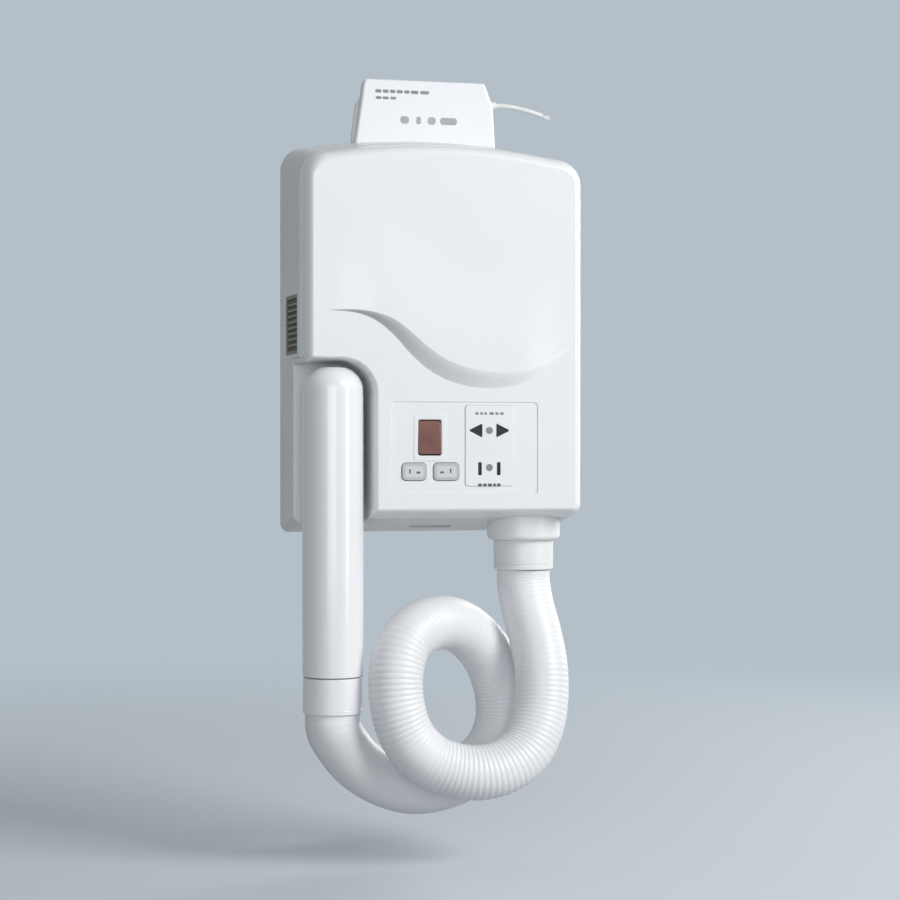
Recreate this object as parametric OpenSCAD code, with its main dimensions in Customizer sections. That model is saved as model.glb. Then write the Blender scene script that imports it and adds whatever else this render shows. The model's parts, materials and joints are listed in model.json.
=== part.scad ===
// Wall-mounted tube hair dryer: a tapered housing on a wall bracket, a wand that hangs in
// an arched cradle, and a ribbed hose that loops from the housing's collar to the wand.
// Millimetres. +X right, +Z up, +Y into the wall; the wall is the plane y = 0.

/* [Housing] */
// Distance from the wall to the front face
housing_depth = 85; // [83:1:92]
// Width of the front face
front_w = 193; // [190:1:202]
// Width of the back
back_w = 205; // [203:1:212]
// Height of the front face at its middle
front_h = 254; // [252:1:262]
// Height of the back at its middle
back_h = 284; // [280:1:292]
// Fall of the arched top from its middle to its ends
top_fall = 11; // [8:1:13]
// Radius of the lower corners
foot_r = 14; // [13:1:16]
// Radius of the upper corners
brow_r = 18; // [16:1:22]
// Radius of the edge round the front face
edge_r = 12; // [9:1:12]
// Wall thickness of the mouldings
wall = 2.5; // [2.2:0.1:2.8]
// Distance from the wall to the joint between the two shells
joint_depth = 64; // [62:1:66]
// Gap round a piece that is set into another
fit = 0.15; // [0.1:0.05:0.2]

/* [Wave across the front] */
// Height of the wave line at its left end
wave_left_z = 15; // [10:1:18]
// Height of the wave line at its lowest point
wave_low_z = -30.5; // [-32:0.5:-26]
// Where the wave line starts to fall
wave_start_x = -66; // [-70:1:-60]
// Where the wave line is lowest
wave_low_x = 31; // [26:1:36]
// Width of the hollow below the wave line
wave_band = 18; // [14:1:19]
// Depth of the hollow at its deepest
wave_depth = 1.5; // [1:0.1:1.6]

/* [Cradle] */
// Right wall of the cradle
cradle_wall_x = -50; // [-51:0.5:-49]
// Top of the cradle
cradle_top_z = -19; // [-20:0.5:-16]
// Radius of the cradle's arch
cradle_r = 22; // [19:1:24]
// Depth of the cradle behind the front face
cradle_depth = 39; // [38:0.5:41]
// Thickness of the cradle liner
liner_t = 2.2; // [1.8:0.1:2.4]
// Radius of the locating peg
peg_r = 4; // [3:0.25:5]
// Height of the locating peg above the housing's lower edge at the cradle's floor
peg_rise = 14.2; // [12:0.5:34]

/* [Wand] */
// Radius of the wand
wand_r = 21; // [20:0.25:21.5]
// Wall thickness of the wand
wand_wall = 2.4; // [2:0.1:2.8]
// Middle of the wand across the housing
wand_x = -75.5; // [-77:0.5:-74.5]
// Gap between the wand and the cradle floor
wand_gap = 3; // [2.5:0.25:3.5]
// Gap between the top of the wand and the top of the cradle
wand_head_gap = 7; // [6:0.5:9]
// Radius of the wand's rounded shoulder
shoulder_r = 9; // [7:0.5:10]
// Height of the seam between the wand and its sleeve
wand_seam_z = -241; // [-243:1:-236]
// Height of the lower end of the sleeve, where the hose goes in
wand_end_z = -264; // [-265:1:-260]

/* [Hose] */
// Outer radius of the hose
hose_r = 19; // [18:0.25:19.25]
// Middle of the hose collar across the housing
hose_x = 67; // [66:0.5:68]
// Distance of the hose collar from the wall
hose_depth = 45; // [44:0.5:46]
// Outer radius of the collar
collar_r = 26; // [25:0.5:27]
// Height of the collar's lower edge
collar_low_z = -147; // [-149:1:-146]
// Height of the cuff's lower edge, where the hose starts
cuff_low_z = -168; // [-168.5:0.5:-166]
// Outer radius of the cuff
cuff_r = 21.3; // [20.5:0.1:21.8]

/* [Control panel] */
// Middle of the panel across the housing
panel_x = 14.5; // [13:0.5:16]
// Middle of the panel in height
panel_z = -82; // [-83:0.5:-81]
// Width of the panel
panel_w = 104; // [102:1:106]
// Height of the panel
panel_h = 64; // [62:1:65]
// How far the panel lies behind the front face
panel_sink = 2; // [1:0.25:2.25]
// Thickness of the panel
panel_t = 2.4; // [2:0.1:3]
// Width of the rocker switch
rocker_w = 16; // [14:0.5:18]
// Height of the rocker switch
rocker_h = 25; // [22:0.5:27]
// Height of the two push keys
key_h = 12; // [10:0.5:13]
// Width of the left key
key_left_w = 17; // [15:0.5:18]
// Width of the right key
key_right_w = 18; // [16:0.5:19]
// Travel of the push keys
key_travel = 1.5; // [1:0.1:1.6]
// Width of the shaver socket's face
socket_w = 34; // [33:0.5:36]
// Height of the shaver socket's face
socket_h = 56; // [52:1:58]
// Distance between the round pins that the wedge-shaped holes take
pin_spacing = 19; // [18:0.5:20]
// Width of a wedge-shaped hole
wedge_w = 9; // [8.8:0.1:9.5]
// Height of a wedge-shaped hole at its inner side
wedge_h = 9.6; // [9.2:0.1:10]
// Distance between the blade slots
blade_spacing = 13.4; // [12.7:0.1:14.5]
// Width of a blade slot
blade_slot_w = 2.8; // [2.2:0.1:3]
// Height of a blade slot
blade_slot_h = 9; // [7:0.5:10]

/* [Wall bracket] */
// Thickness of the bracket plate
bracket_t = 3; // [2.5:0.25:3]
// Half width of the bracket plate
bracket_half_w = 72; // [68:1:80]
// Distance across between the wall screws
bolt_w = 120; // [110:5:130]
// Distance in height between the wall screws
bolt_h = 180; // [160:5:190]
// Radius of the wall screw holes
bolt_r = 2.5; // [2:0.25:3]
// Thickness of the tongue above the housing
tongue_t = 12; // [11:0.5:13]
// Middle of the tongue across the housing
tongue_x = 2.5; // [0:0.5:4]
// Half width of the tongue where it leaves the housing
tongue_foot = 53; // [50:1:55]
// Half width of the tongue at its kink
tongue_waist = 50; // [48:1:52]
// Half width of the tongue at its top
tongue_top = 43; // [40:1:45]
// Height of the tongue's kink above the housing
tongue_kink_rise = 25; // [23:1:28]
// Height of the tongue's top above the housing
tongue_rise = 43.5; // [41:0.5:48]

/* [Supply lead] */
// Radius of the supply lead
lead_r = 1.6; // [1.4:0.1:1.7]
// Height above the housing at which the lead leaves the tongue
lead_rise = 27.5; // [27:0.5:28]
// Distance of the lead from the wall where it leaves
lead_depth = 6.5; // [6.4:0.05:6.6]

/* [Air inlet] */
// Middle of the inlet grille in height
inlet_z = 4.5; // [4:0.5:12]
// Height of the inlet grille
inlet_h = 41; // [36:1:41]
// Width of the inlet grille
inlet_w = 36; // [32:1:38]
// Distance of the grille's middle from the wall
inlet_depth = 40; // [38:1:42]
// Number of slats in the grille
slats = 9; // [6:1:11]

/* [Fan and heater] */
// Middle of the fan across the housing
fan_x = 26; // [22:1:27]
// Middle of the fan in height
fan_z = 48; // [44:1:52]
// Outer radius of the impeller
impeller_r = 36; // [32:1:38]
// Width of the impeller blades
blade_w = 24; // [20:1:26]
// Number of impeller blades
blades = 22; // [16:1:28]
// Radius of the motor
motor_r = 17; // [15:1:19]
// Radius of the motor shaft
shaft_r = 1.5; // [1.2:0.1:2]
// Inner radius of the heater duct
duct_r = 20; // [18.5:0.25:20.5]
// Number of heater turns
heater_turns = 10; // [6:1:12]

/* [Release latch] */
// Middle of the release slot across the housing
latch_x = 3; // [0:1:6]
// Width of the release slot
latch_w = 30; // [26:1:32]
// Width of the release slot front to back
latch_d = 12; // [10:1:13]
// Distance of the release slot from the wall
latch_depth = 24; // [23:0.5:25]
// Upward travel of the release latch
latch_travel = 4; // [3.5:0.25:4]

/* [Hidden] */
$fn = 48;

eps = 0.01;
front_y = -housing_depth;
back_y = -bracket_t;
inner_front_y = front_y + wall;
inner_back_y = back_y - wall;
joint_y = -joint_depth;
front_half_h = front_h / 2;
back_half_h = back_h / 2;
tongue_kink_z = back_half_h + tongue_kink_rise;
tongue_top_z = back_half_h + tongue_rise;
lead_z = back_half_h + lead_rise;

// ---- Outline of the housing, which tapers from the wall to the front ----
function taper(y) = (back_y - y) / (back_y - front_y);
function half_w(y) = (back_w + (front_w - back_w) * taper(y)) / 2;
function half_h(y) = (back_h + (front_h - back_h) * taper(y)) / 2;
function arch_z(y, x) = half_h(y) - top_fall * pow(x / half_w(y), 2);
function arc(cx, cz, r, a0, a1, steps) =
    [for (i = [0 : steps]) let (a = a0 + (a1 - a0) * i / steps) [cx + r * cos(a), cz + r * sin(a)]];

// One closed ring of the housing at depth y, moved inwards by inset; right side first.
function housing_right(y, inset) =
    let (foot_x = half_w(y) - foot_r, brow_x = half_w(y) - brow_r)
    concat(
        arc(foot_x, foot_r - half_h(y), foot_r - inset, -90, 0, 6),
        arc(brow_x, arch_z(y, brow_x) - brow_r, brow_r - inset, 0, 78, 6),
        [for (k = [3, 2, 1]) let (x = brow_x * k / 4) [x, arch_z(y, x) - inset]]
    );
function mirrored(points) =
    [for (i = [len(points) - 1 : -1 : 0]) [-points[i][0], points[i][1]]];
function housing_ring(y, inset) =
    let (right = housing_right(y, inset))
    [for (p = concat(right, [[0, half_h(y) - inset]], mirrored(right))) [p[0], y, p[1]]];

// Rings from the back to the front, where the last ones turn over the rounded edge.
edge_steps = 5;
function housing_rings(inset) = concat(
    [housing_ring(back_y - inset, inset)],
    [for (k = [0 : edge_steps]) let (a = 90 * k / edge_steps, r = edge_r - inset)
        housing_ring(front_y + inset + r * (1 - sin(a)), inset + r * (1 - cos(a)))]
);

// Solid through a list of rings that all have the same number of points.
module skin(rings) {
    n = len(rings[0]);
    last = (len(rings) - 1) * n;
    polyhedron(
        points = [for (ring = rings) each ring],
        faces = concat(
            [[for (j = [0 : n - 1]) j]],
            [[for (j = [n - 1 : -1 : 0]) last + j]],
            [for (k = [0 : len(rings) - 2], j = [0 : n - 1]) each
                let (a = k * n + j, b = k * n + (j + 1) % n)
                [[a, a + n, b + n], [a, b + n, b]]]
        )
    );
}

module housing_blank(inset = 0) { skin(housing_rings(inset)); }

// ---- Plain shapes ----
module block(x0, x1, y0, y1, z0, z1) { translate([x0, y0, z0]) cube([x1 - x0, y1 - y0, z1 - z0]); }
module plate_y(y0, y1) { translate([0, y1, 0]) rotate([90, 0, 0]) linear_extrude(y1 - y0) children(); }
module rod_y(x, z, r, y0, y1) { translate([x, y1, z]) rotate([90, 0, 0]) cylinder(r = r, h = y1 - y0); }
module rod_x(y, z, r, x0, x1) { translate([x0, y, z]) rotate([0, 90, 0]) cylinder(r = r, h = x1 - x0); }
module rod_z(x, y, r, z0, z1) { translate([x, y, z0]) cylinder(r = r, h = z1 - z0); }
module rounded_rect(w, h, r) {
    square([w, h - 2 * r], center = true);
    square([w - 2 * r, h], center = true);
    for (i = [-1, 1], j = [-1, 1]) translate([i * (w / 2 - r), j * (h / 2 - r)]) circle(r);
}

// Tube of radius r along a smooth route: each ring stands square to the route, and the two
// end rings to its first and last stretch.
function spline(p, i, t) =
    let (a = p[max(i - 1, 0)], b = p[i], c = p[i + 1], d = p[min(i + 2, len(p) - 1)])
    0.5 * ((2 * b) + (c - a) * t + (2 * a - 5 * b + 4 * c - d) * t * t
        + (3 * b - a - 3 * c + d) * t * t * t);
function route_points(p, steps) = concat(
    [for (i = [0 : len(p) - 2], k = [0 : steps - 1]) spline(p, i, k / steps)],
    [p[len(p) - 1]]
);
function unit(v) = v / norm(v);
function route_ring(q, i, ahead, r, sides) =
    let (
        side = unit(cross(ahead, [0, 1, 0])),
        up = cross(side, ahead)
    )
    [for (k = [0 : sides - 1]) let (a = 360 * k / sides) q[i] + r * (cos(a) * side - sin(a) * up)];
module tube_along(points, steps, r, sides) {
    q = route_points(points, steps);
    last = len(q) - 1;
    end = len(points) - 1;
    skin([for (i = [0 : last]) route_ring(q, i,
        i == 0 ? unit(points[1] - points[0])
            : i == last ? unit(points[end] - points[end - 1])
            : unit(q[i + 1] - q[i - 1]), r, sides)]);
}

// ---- Wave across the front ----
function wave_z(x) = x < wave_low_x
    ? (wave_left_z + wave_low_z) / 2 + (wave_left_z - wave_low_z) / 2
        * cos(180 * pow((x - wave_start_x) / (wave_low_x - wave_start_x), 0.92))
    : wave_low_z + pow((x - wave_low_x) / 14.2, 2);
wave_end_x = front_w / 2 - edge_r + 4;
wave_steps = 16;
wave_skim = 0.3;
wave_crest = 0.4;
// Cross section of the hollow at step k: a triangle that is deepest a little below the wave
// line, and starts wave_skim in front of the face.
function wave_ring(k) =
    let (
        x = wave_start_x + eps + (wave_end_x - wave_start_x) * k / wave_steps,
        swell = sin(180 * pow(k / wave_steps, 0.9)),
        z = wave_z(x),
        d = 0.1 + wave_depth * swell,
        band = 4 + (wave_band - 4) * swell,
        flare = 1 + wave_skim / d
    )
    [[x, front_y - wave_skim, z - wave_crest * band - flare * (1 - wave_crest) * band],
     [x, front_y + d, z - wave_crest * band],
     [x, front_y - wave_skim, z + (flare - 1) * wave_crest * band]];
module wave_hollow() { skin([for (k = [0 : wave_steps]) wave_ring(k)]); }

// ---- Cradle ----
cradle_floor_y = front_y + cradle_depth;
peg_z = peg_rise - half_h(cradle_floor_y);
// Arched notch, open to the left and below; grow moves its wall outwards.
module cradle_outline(grow) {
    far_x = -back_w;
    far_z = -back_h;
    x1 = cradle_wall_x + grow;
    z1 = cradle_top_z + grow;
    r = cradle_r + grow;
    translate([far_x, far_z]) square([x1 - far_x, z1 - r - far_z]);
    translate([far_x, far_z]) square([x1 - r - far_x, z1 - far_z]);
    translate([x1 - r, z1 - r]) circle(r);
}

// ---- Wand ----
wand_y = cradle_floor_y - wand_gap - wand_r;
wand_top_z = cradle_top_z - wand_head_gap;
outlet_r = wand_r - shoulder_r;
peg_tip_y = wand_y + wand_r - 7;

// ---- Hose, collar and lead ----
hose_y = -hose_depth;
hose_route = [
    [67, -45, -168], [67, -45, -178], [69, -49, -195], [73, -56, -216], [75, -64, -238],
    [73, -71, -262], [67, -77, -280], [57, -82, -294], [41, -86, -303], [23, -88, -306],
    [4, -88, -303], [-13, -88, -295], [-27, -88, -279], [-34, -87, -256], [-33, -83, -232],
    [-25, -76, -215], [-10, -66, -206], [9, -54, -205], [27, -42, -213], [42, -34, -228],
    [51, -30, -246], [55, -29, -264], [54, -30, -281], [46, -33, -298], [30, -36, -312],
    [9, -40, -320], [-15, -46, -321], [-38, -53, -313], [-57, -60, -300], [-70, -66, -284],
    [-75.5, -70, -274], [-75.5, -70, -264.2]
];
lead_seat_x = tongue_x + tongue_waist - 5.5;
lead_out_x = tongue_x + tongue_waist + 3.5;
lead_steps = [
    [0, 0, 0], [4, 0, 0], [11, 0, -0.5], [18, 0.5, -1.5], [25, 0.5, -3], [31, 1, -4.5],
    [36, 1.5, -6]
];
lead_route = [for (p = lead_steps) p + [lead_out_x, -lead_depth, lead_z]];
lead_core_r = 0.7;

// ---- Panel ----
panel_y = front_y + panel_sink;
panel_back_y = panel_y + panel_t;
panel_corner_r = 3;
panel_lip = 1.4;
rocker_x = panel_x - 24.8;
rocker_z = panel_z + 7.5;
rocker_wall = 2;
rocker_gap = 0.6;
rocker_rest = 6;
rocker_pivot_y = panel_y + 2;
rocker_pin_r = 1.2;
rocker_case_depth = 17;
key_z = panel_z - 16;
key_left_x = panel_x - 36;
key_right_x = panel_x - 13.3;
key_gap = 0.25;
key_proud = 0.9;
key_corner_r = 3;
key_lip_t = 1;
key_lip = 1;
key_stem_r = 2.5;
key_stem_end_y = panel_back_y + key_lip_t + 3;
socket_x = panel_x + 17.3;
socket_z = panel_z + 2;
socket_proud = 0.7;
socket_corner_r = 2;
pin_rise = 10.5;
blade_drop = 16;
socket_body_depth = 12;
pin_z = socket_z + pin_rise;
blade_z = socket_z - blade_drop;
socket_body_back_y = panel_back_y + socket_body_depth;
contact_end_y = socket_body_back_y - 1.5;
contact_t = 0.9;

// ---- Board behind the panel ----
board_front_y = panel_back_y + 18.6;
board_t = 1.6;
board_screw_l = 6;
post_r = 2.2;
post_left = 48.5;
post_right = 2.7;
post_up = 27;
post_down = 29;
board_reach = 26;
post_x = [panel_x - post_left, panel_x - post_right];
post_z = [panel_z + post_up, panel_z - post_down];
board_left_x = post_x[0] - 3;
board_right_x = panel_x + board_reach;
board_top_z = post_z[0] + 3;
board_low_z = post_z[1] - 3;

// ---- Fan, duct and heater ----
duct_wall = 1.6;
scroll_gap = 5;
scroll_wall = 2;
scroll_r = impeller_r + scroll_gap;
scroll_front_y = -66;
scroll_back_y = -32;
outlet_left_x = hose_x - duct_r - 2;
outlet_right_x = hose_x + duct_r + 2;
duct_top_z = -11;
duct_flange_t = 3;
collar_top_z = -120;
collar_flange_t = 4;
collar_flange_r = collar_r + 2;
cuff_fit = 0.1;
collar_bore_r = cuff_r + cuff_fit;
motor_back_y = -8;
impeller_back_y = scroll_back_y - scroll_wall - 2;
impeller_disc_t = 1.6;
hub_r = 6;
bearing_gap = 0.05;
heater_r = 15;
heater_wire_r = 0.7;
mica_t = 0.8;
heater_top_z = duct_top_z - 8;
heater_low_z = collar_top_z + 14;
leg_r = 4;

// ---- Screws that join the shells ----
tower_r = 3.4;
screw_r = 1.5;
screw_head_r = 2.7;
screw_seat_depth = 6;
screw_bite = 9;
tower_x = 80;
tower_top_z = 98;
tower_low_z = -119.5;
tower_right = 17;
tower_left = 50;
screw_seat_y = inner_back_y - screw_seat_depth;
screw_tip_y = joint_y - screw_bite;
tower_xz = [
    [tower_x, tower_top_z], [-tower_x, tower_top_z], [panel_x + tower_right, tower_low_z],
    [panel_x - tower_left, tower_low_z]
];

// ---- Bracket hooks and latch ----
hook_x = 52;
hook_z = 95;
hook_half_w = 6;
hook_t = 4;
hook_reach_y = inner_back_y - 1 - 3;
hook_lip_h = 9;
latch_y = -latch_depth;
latch_surface_z = -half_h(latch_y);
lug_z = 18 - back_half_h;
lug_t = 4;
lug_half_w = 8;
lug_reach_y = back_y - 12;
tooth_h = 3;
tooth_t = 2;
latch_hook_t = 3;
latch_stem_r = 3;
latch_top_z = lug_z + tooth_h + 0.4 + latch_hook_t;
spring_r = 4.4;
spring_wire_r = 0.5;
spring_turns = 4;
spring_top_z = latch_top_z + 13;

// ================= Bracket and terminals =================
tongue_chamfer = 6;
shoulder_drop = 24;
function tongue_outline(inset, low_z) = [
    [tongue_x - tongue_foot + inset, low_z], [tongue_x + tongue_foot - inset, low_z],
    [tongue_x + tongue_waist - inset, tongue_kink_z],
    [tongue_x + tongue_top - inset, tongue_top_z - tongue_chamfer],
    [tongue_x + tongue_top - inset - 1.5, tongue_top_z - inset - 2],
    [tongue_x + tongue_top - inset - 5, tongue_top_z - inset],
    [tongue_x - tongue_top + inset + 5, tongue_top_z - inset],
    [tongue_x - tongue_top + inset + 1.5, tongue_top_z - inset - 2],
    [tongue_x - tongue_top + inset, tongue_top_z - tongue_chamfer],
    [tongue_x - tongue_waist + inset, tongue_kink_z]
];
tongue_low_z = back_half_h + 0.6;
bracket_shoulder_z = back_half_h - shoulder_drop;
bracket_low_z = lug_z - lug_t;

module wall_bracket() {
    color("gainsboro") difference() {
        union() {
            plate_y(back_y, 0) {
                translate([-bracket_half_w, bracket_low_z])
                    square([2 * bracket_half_w, bracket_shoulder_z - bracket_low_z]);
                translate([tongue_x - tongue_foot, bracket_shoulder_z - eps])
                    square([2 * tongue_foot, tongue_low_z - bracket_shoulder_z + 2 * eps]);
                polygon(tongue_outline(0, tongue_low_z));
            }
            for (side = [-1, 1]) {
                block(side * hook_x - hook_half_w, side * hook_x + hook_half_w,
                    hook_reach_y, back_y + eps, hook_z, hook_z + hook_t);
                block(side * hook_x - hook_half_w, side * hook_x + hook_half_w,
                    hook_reach_y, hook_reach_y + 3, hook_z, hook_z + hook_lip_h);
            }
            block(latch_x - lug_half_w, latch_x + lug_half_w, lug_reach_y, back_y + eps,
                lug_z - lug_t, lug_z);
            block(latch_x - lug_half_w, latch_x + lug_half_w, lug_reach_y,
                lug_reach_y + tooth_t, lug_z - eps, lug_z + tooth_h);
        }
        for (i = [-1, 1], j = [-1, 1])
            rod_y(i * bolt_w / 2, j * bolt_h / 2, bolt_r, back_y - 1, 1);
    }
}

module terminal_cover() {
    cover_wall = 2;
    color("white") difference() {
        plate_y(-tongue_t, back_y) polygon(tongue_outline(0, tongue_low_z));
        plate_y(-tongue_t + cover_wall, back_y + 1)
            polygon(tongue_outline(cover_wall, tongue_low_z + cover_wall));
        rod_x(-lead_depth, lead_z, lead_r + 1 + fit, tongue_x + tongue_top - 4, tongue_x + tongue_foot + 4);
    }
}

terminal_half_w = 16;
terminal_z = back_half_h + 18;
module terminal_block() {
    color("ivory") difference() {
        block(tongue_x - terminal_half_w, tongue_x + terminal_half_w,
            back_y - 6, back_y, terminal_z - 6, terminal_z + 6);
        for (k = [-1, 0, 1], j = [-1, 1])
            rod_y(tongue_x + k * 10, terminal_z + j * 3, 1.7, back_y - 7, back_y - 2);
    }
}
module terminal_screws() {
    color("gold") for (k = [-1, 0, 1], j = [-1, 1]) difference() {
        rod_y(tongue_x + k * 10, terminal_z + j * 3, 1.6, back_y - 5.4, back_y - 2.1);
        translate([tongue_x + k * 10, back_y - 5.4, terminal_z + j * 3]) cube([4, 1, 0.6], center = true);
    }
}

module lead_bush() {
    color("white") difference() {
        union() {
            rod_x(-lead_depth, lead_z, lead_r + 1, lead_seat_x - 2, lead_out_x);
            rod_x(-lead_depth, lead_z, lead_r + 1.6, lead_seat_x - 2, lead_seat_x);
        }
        rod_x(-lead_depth, lead_z, lead_core_r * 1.6, lead_seat_x - 3, lead_out_x + 1);
    }
}
module supply_lead() { color("white") tube_along(lead_route, 2, lead_r, 8); }
module lead_cores() {
    tip = lead_route[len(lead_route) - 1];
    color("peru") for (side = [-1, 1])
        translate(tip + [0, 0, side * 0.75]) rotate([0, 106, 0]) cylinder(r = lead_core_r, h = 6);
}

// ================= Shells =================
module collar_hole() { rod_z(hose_x, hose_y, collar_r + fit, -back_h, collar_top_z); }
module cradle_cut() { plate_y(front_y - 5, cradle_floor_y + liner_t + fit) cradle_outline(liner_t + fit); }

wall_slope = atan((back_w - front_w) / 2 / (back_y - front_y));
// Places children on the left side wall: local X points inwards, local Y to the wall.
module on_left_wall(depth, z) {
    translate([-half_w(-depth), -depth, z]) rotate([0, 0, wall_slope]) children();
}

module rear_shell() {
    color("white") difference() {
        union() {
            difference() {
                intersection() {
                    housing_blank(0);
                    block(-back_w, back_w, joint_y, 0, -back_h, back_h);
                }
                housing_blank(wall);
            }
            for (p = tower_xz) rod_y(p[0], p[1], tower_r, joint_y, inner_back_y + eps);
            block(latch_x - 6, latch_x + 6, latch_y - 6, inner_back_y + eps,
                spring_top_z, spring_top_z + wall);
        }
        for (p = tower_xz) {
            rod_y(p[0], p[1], screw_r + 0.2, joint_y - 1, 0);
            rod_y(p[0], p[1], screw_head_r + 0.1, screw_seat_y, 0);
        }
        for (side = [-1, 1])
            block(side * hook_x - hook_half_w - 1, side * hook_x + hook_half_w + 1,
                inner_back_y - 1, 0, hook_z - hook_lip_h, hook_z + hook_t + 0.2);
        block(latch_x - lug_half_w - 1, latch_x + lug_half_w + 1, inner_back_y - 1, 0,
            lug_z - lug_t - 1, lug_z + tooth_h + 6);
        block(latch_x - latch_w / 2, latch_x + latch_w / 2, latch_y - latch_d / 2,
            latch_y + latch_d / 2, -back_h, latch_surface_z + 6);
        on_left_wall(inlet_depth, inlet_z)
            block(-4, wall + 2, -inlet_w / 2 - fit, inlet_w / 2 + fit, -inlet_h / 2 - fit, inlet_h / 2 + fit);
        collar_hole();
        cradle_cut();
    }
}

module front_cover() {
    color("white") difference() {
        union() {
            difference() {
                intersection() {
                    housing_blank(0);
                    block(-back_w, back_w, front_y - 1, joint_y, -back_h, back_h);
                }
                housing_blank(wall);
            }
            for (p = tower_xz) rod_y(p[0], p[1], tower_r, inner_front_y - eps, joint_y);
        }
        for (p = tower_xz) rod_y(p[0], p[1], screw_r - 0.2, screw_tip_y - 2, joint_y + 1);
        wave_hollow();
        translate([panel_x, 0, panel_z]) plate_y(front_y - 1, inner_front_y + 1)
            rounded_rect(panel_w + 2 * fit, panel_h + 2 * fit, panel_corner_r);
        collar_hole();
        cradle_cut();
    }
}

module cover_screws() {
    color("silver") for (p = tower_xz) {
        rod_y(p[0], p[1], screw_r - 0.2, screw_tip_y, screw_seat_y + eps);
        difference() {
            rod_y(p[0], p[1], screw_head_r, screw_seat_y, screw_seat_y + 2);
            translate([p[0], screw_seat_y + 2, p[1]]) cube([4, 1.6, 0.8], center = true);
        }
    }
}

module cradle_liner() {
    color("whitesmoke") difference() {
        intersection() {
            housing_blank(0);
            plate_y(front_y - 1, cradle_floor_y + liner_t) cradle_outline(liner_t);
        }
        plate_y(front_y - 2, cradle_floor_y) cradle_outline(0);
        rod_y(wand_x, peg_z, peg_r + fit, front_y, 0);
    }
}

module cradle_peg() {
    color("dimgray") {
        rod_y(wand_x, peg_z, peg_r, peg_tip_y, cradle_floor_y + liner_t + 1);
        rod_y(wand_x, peg_z, peg_r + 3, cradle_floor_y + liner_t, cradle_floor_y + liner_t + 2);
    }
}

module reed_switch() {
    z = wand_top_z - 34;
    color("darkgreen") block(wand_x - 8, wand_x + 8, cradle_floor_y + liner_t,
        cradle_floor_y + liner_t + 5, z - 12, z + 12);
}

// ================= Inlet =================
module inlet_grille() {
    rim = 2.2;
    pitch = (inlet_h - 2 * rim) / slats;
    color("darkkhaki") on_left_wall(inlet_depth, inlet_z) {
        difference() {
            block(0.2, wall, -inlet_w / 2, inlet_w / 2, -inlet_h / 2, inlet_h / 2);
            block(-1, wall + 1, rim - inlet_w / 2, inlet_w / 2 - rim, rim - inlet_h / 2, inlet_h / 2 - rim);
        }
        for (k = [1 : slats - 1])
            block(0.5, wall, rim - inlet_w / 2 - eps, inlet_w / 2 - rim + eps,
                -inlet_h / 2 + rim + pitch * k - 0.8, -inlet_h / 2 + rim + pitch * k + 0.8);
    }
}
module filter_mesh() {
    color("dimgray") on_left_wall(inlet_depth, inlet_z)
        block(wall, wall + 4, -inlet_w / 2 + 0.3, inlet_w / 2 - 0.3, -inlet_h / 2 + 0.3, inlet_h / 2 - 0.3);
}

// ================= Release latch =================
module release_latch() {
    pad_low_z = -half_h(latch_y + latch_d / 2) + 3;
    color("white") {
        block(latch_x - latch_w / 2 + 0.3, latch_x + latch_w / 2 - 0.3, latch_y - latch_d / 2 + 0.3,
            latch_y + latch_d / 2 - 0.3, pad_low_z, pad_low_z + 3);
        rod_z(latch_x, latch_y, latch_stem_r, pad_low_z + 1, latch_top_z);
        rod_z(latch_x, latch_y, spring_r - 1.2, latch_top_z - eps, latch_top_z + 2.5);
        block(latch_x - lug_half_w + 2, latch_x + lug_half_w - 2, latch_y - 5, inner_back_y - 1.5,
            latch_top_z - latch_hook_t, latch_top_z);
        block(latch_x - lug_half_w + 2, latch_x + lug_half_w - 2, lug_reach_y + tooth_t + 0.5,
            inner_back_y - 1.5, lug_z + 0.5, latch_top_z - latch_hook_t + eps);
    }
}
function spring_point(a, z) = [latch_x + spring_r * cos(a), latch_y + spring_r * sin(a), z];
module latch_spring() {
    steps = 12 * spring_turns;
    low = latch_top_z + spring_wire_r + 0.05;
    high = spring_top_z - spring_wire_r - 0.05;
    color("silver") skin([for (i = [0 : steps]) let (a = -360 * spring_turns * i / steps)
        [for (k = [0 : 5]) let (b = 60 * k)
            spring_point(a, low + (high - low) * i / steps)
                + spring_wire_r * (cos(b) * [cos(a), sin(a), 0] + sin(b) * [0, 0, 1])]]);
}

// ================= Fan =================
module scroll_outline(grow) {
    translate([fan_x, fan_z]) circle(scroll_r + grow);
    translate([outlet_left_x - grow, duct_top_z])
        square([outlet_right_x - outlet_left_x + 2 * grow, fan_z - duct_top_z]);
}
leg_reach = scroll_r + scroll_wall + leg_r - 2;
legs = [for (a = [150, 40, 235]) [fan_x + leg_reach * cos(a), fan_z + leg_reach * sin(a)]];
module fan_housing() {
    color("lightgray") difference() {
        union() {
            plate_y(scroll_front_y, scroll_back_y) scroll_outline(scroll_wall);
            for (p = legs) rod_y(p[0], p[1], leg_r, scroll_back_y - 6, inner_back_y);
        }
        plate_y(scroll_front_y + scroll_wall, scroll_back_y - scroll_wall) {
            scroll_outline(0);
            translate([outlet_left_x, duct_top_z - 1]) square([outlet_right_x - outlet_left_x, 2]);
        }
        rod_y(fan_x, fan_z, impeller_r - 12, scroll_front_y - 1, scroll_front_y + scroll_wall + 1);
        rod_y(fan_x, fan_z, motor_r + fit, scroll_back_y - scroll_wall - 1, scroll_back_y + 1);
    }
}
module fan_motor() {
    color("silver") difference() {
        union() {
            rod_y(fan_x, fan_z, motor_r, scroll_back_y - scroll_wall, motor_back_y);
            rod_y(fan_x, fan_z, motor_r + 4, scroll_back_y, scroll_back_y + 2);
            rod_y(fan_x, fan_z, 5, motor_back_y - eps, inner_back_y);
        }
        rod_y(fan_x, fan_z, shaft_r + bearing_gap, scroll_front_y, motor_back_y - 3);
    }
}
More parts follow.
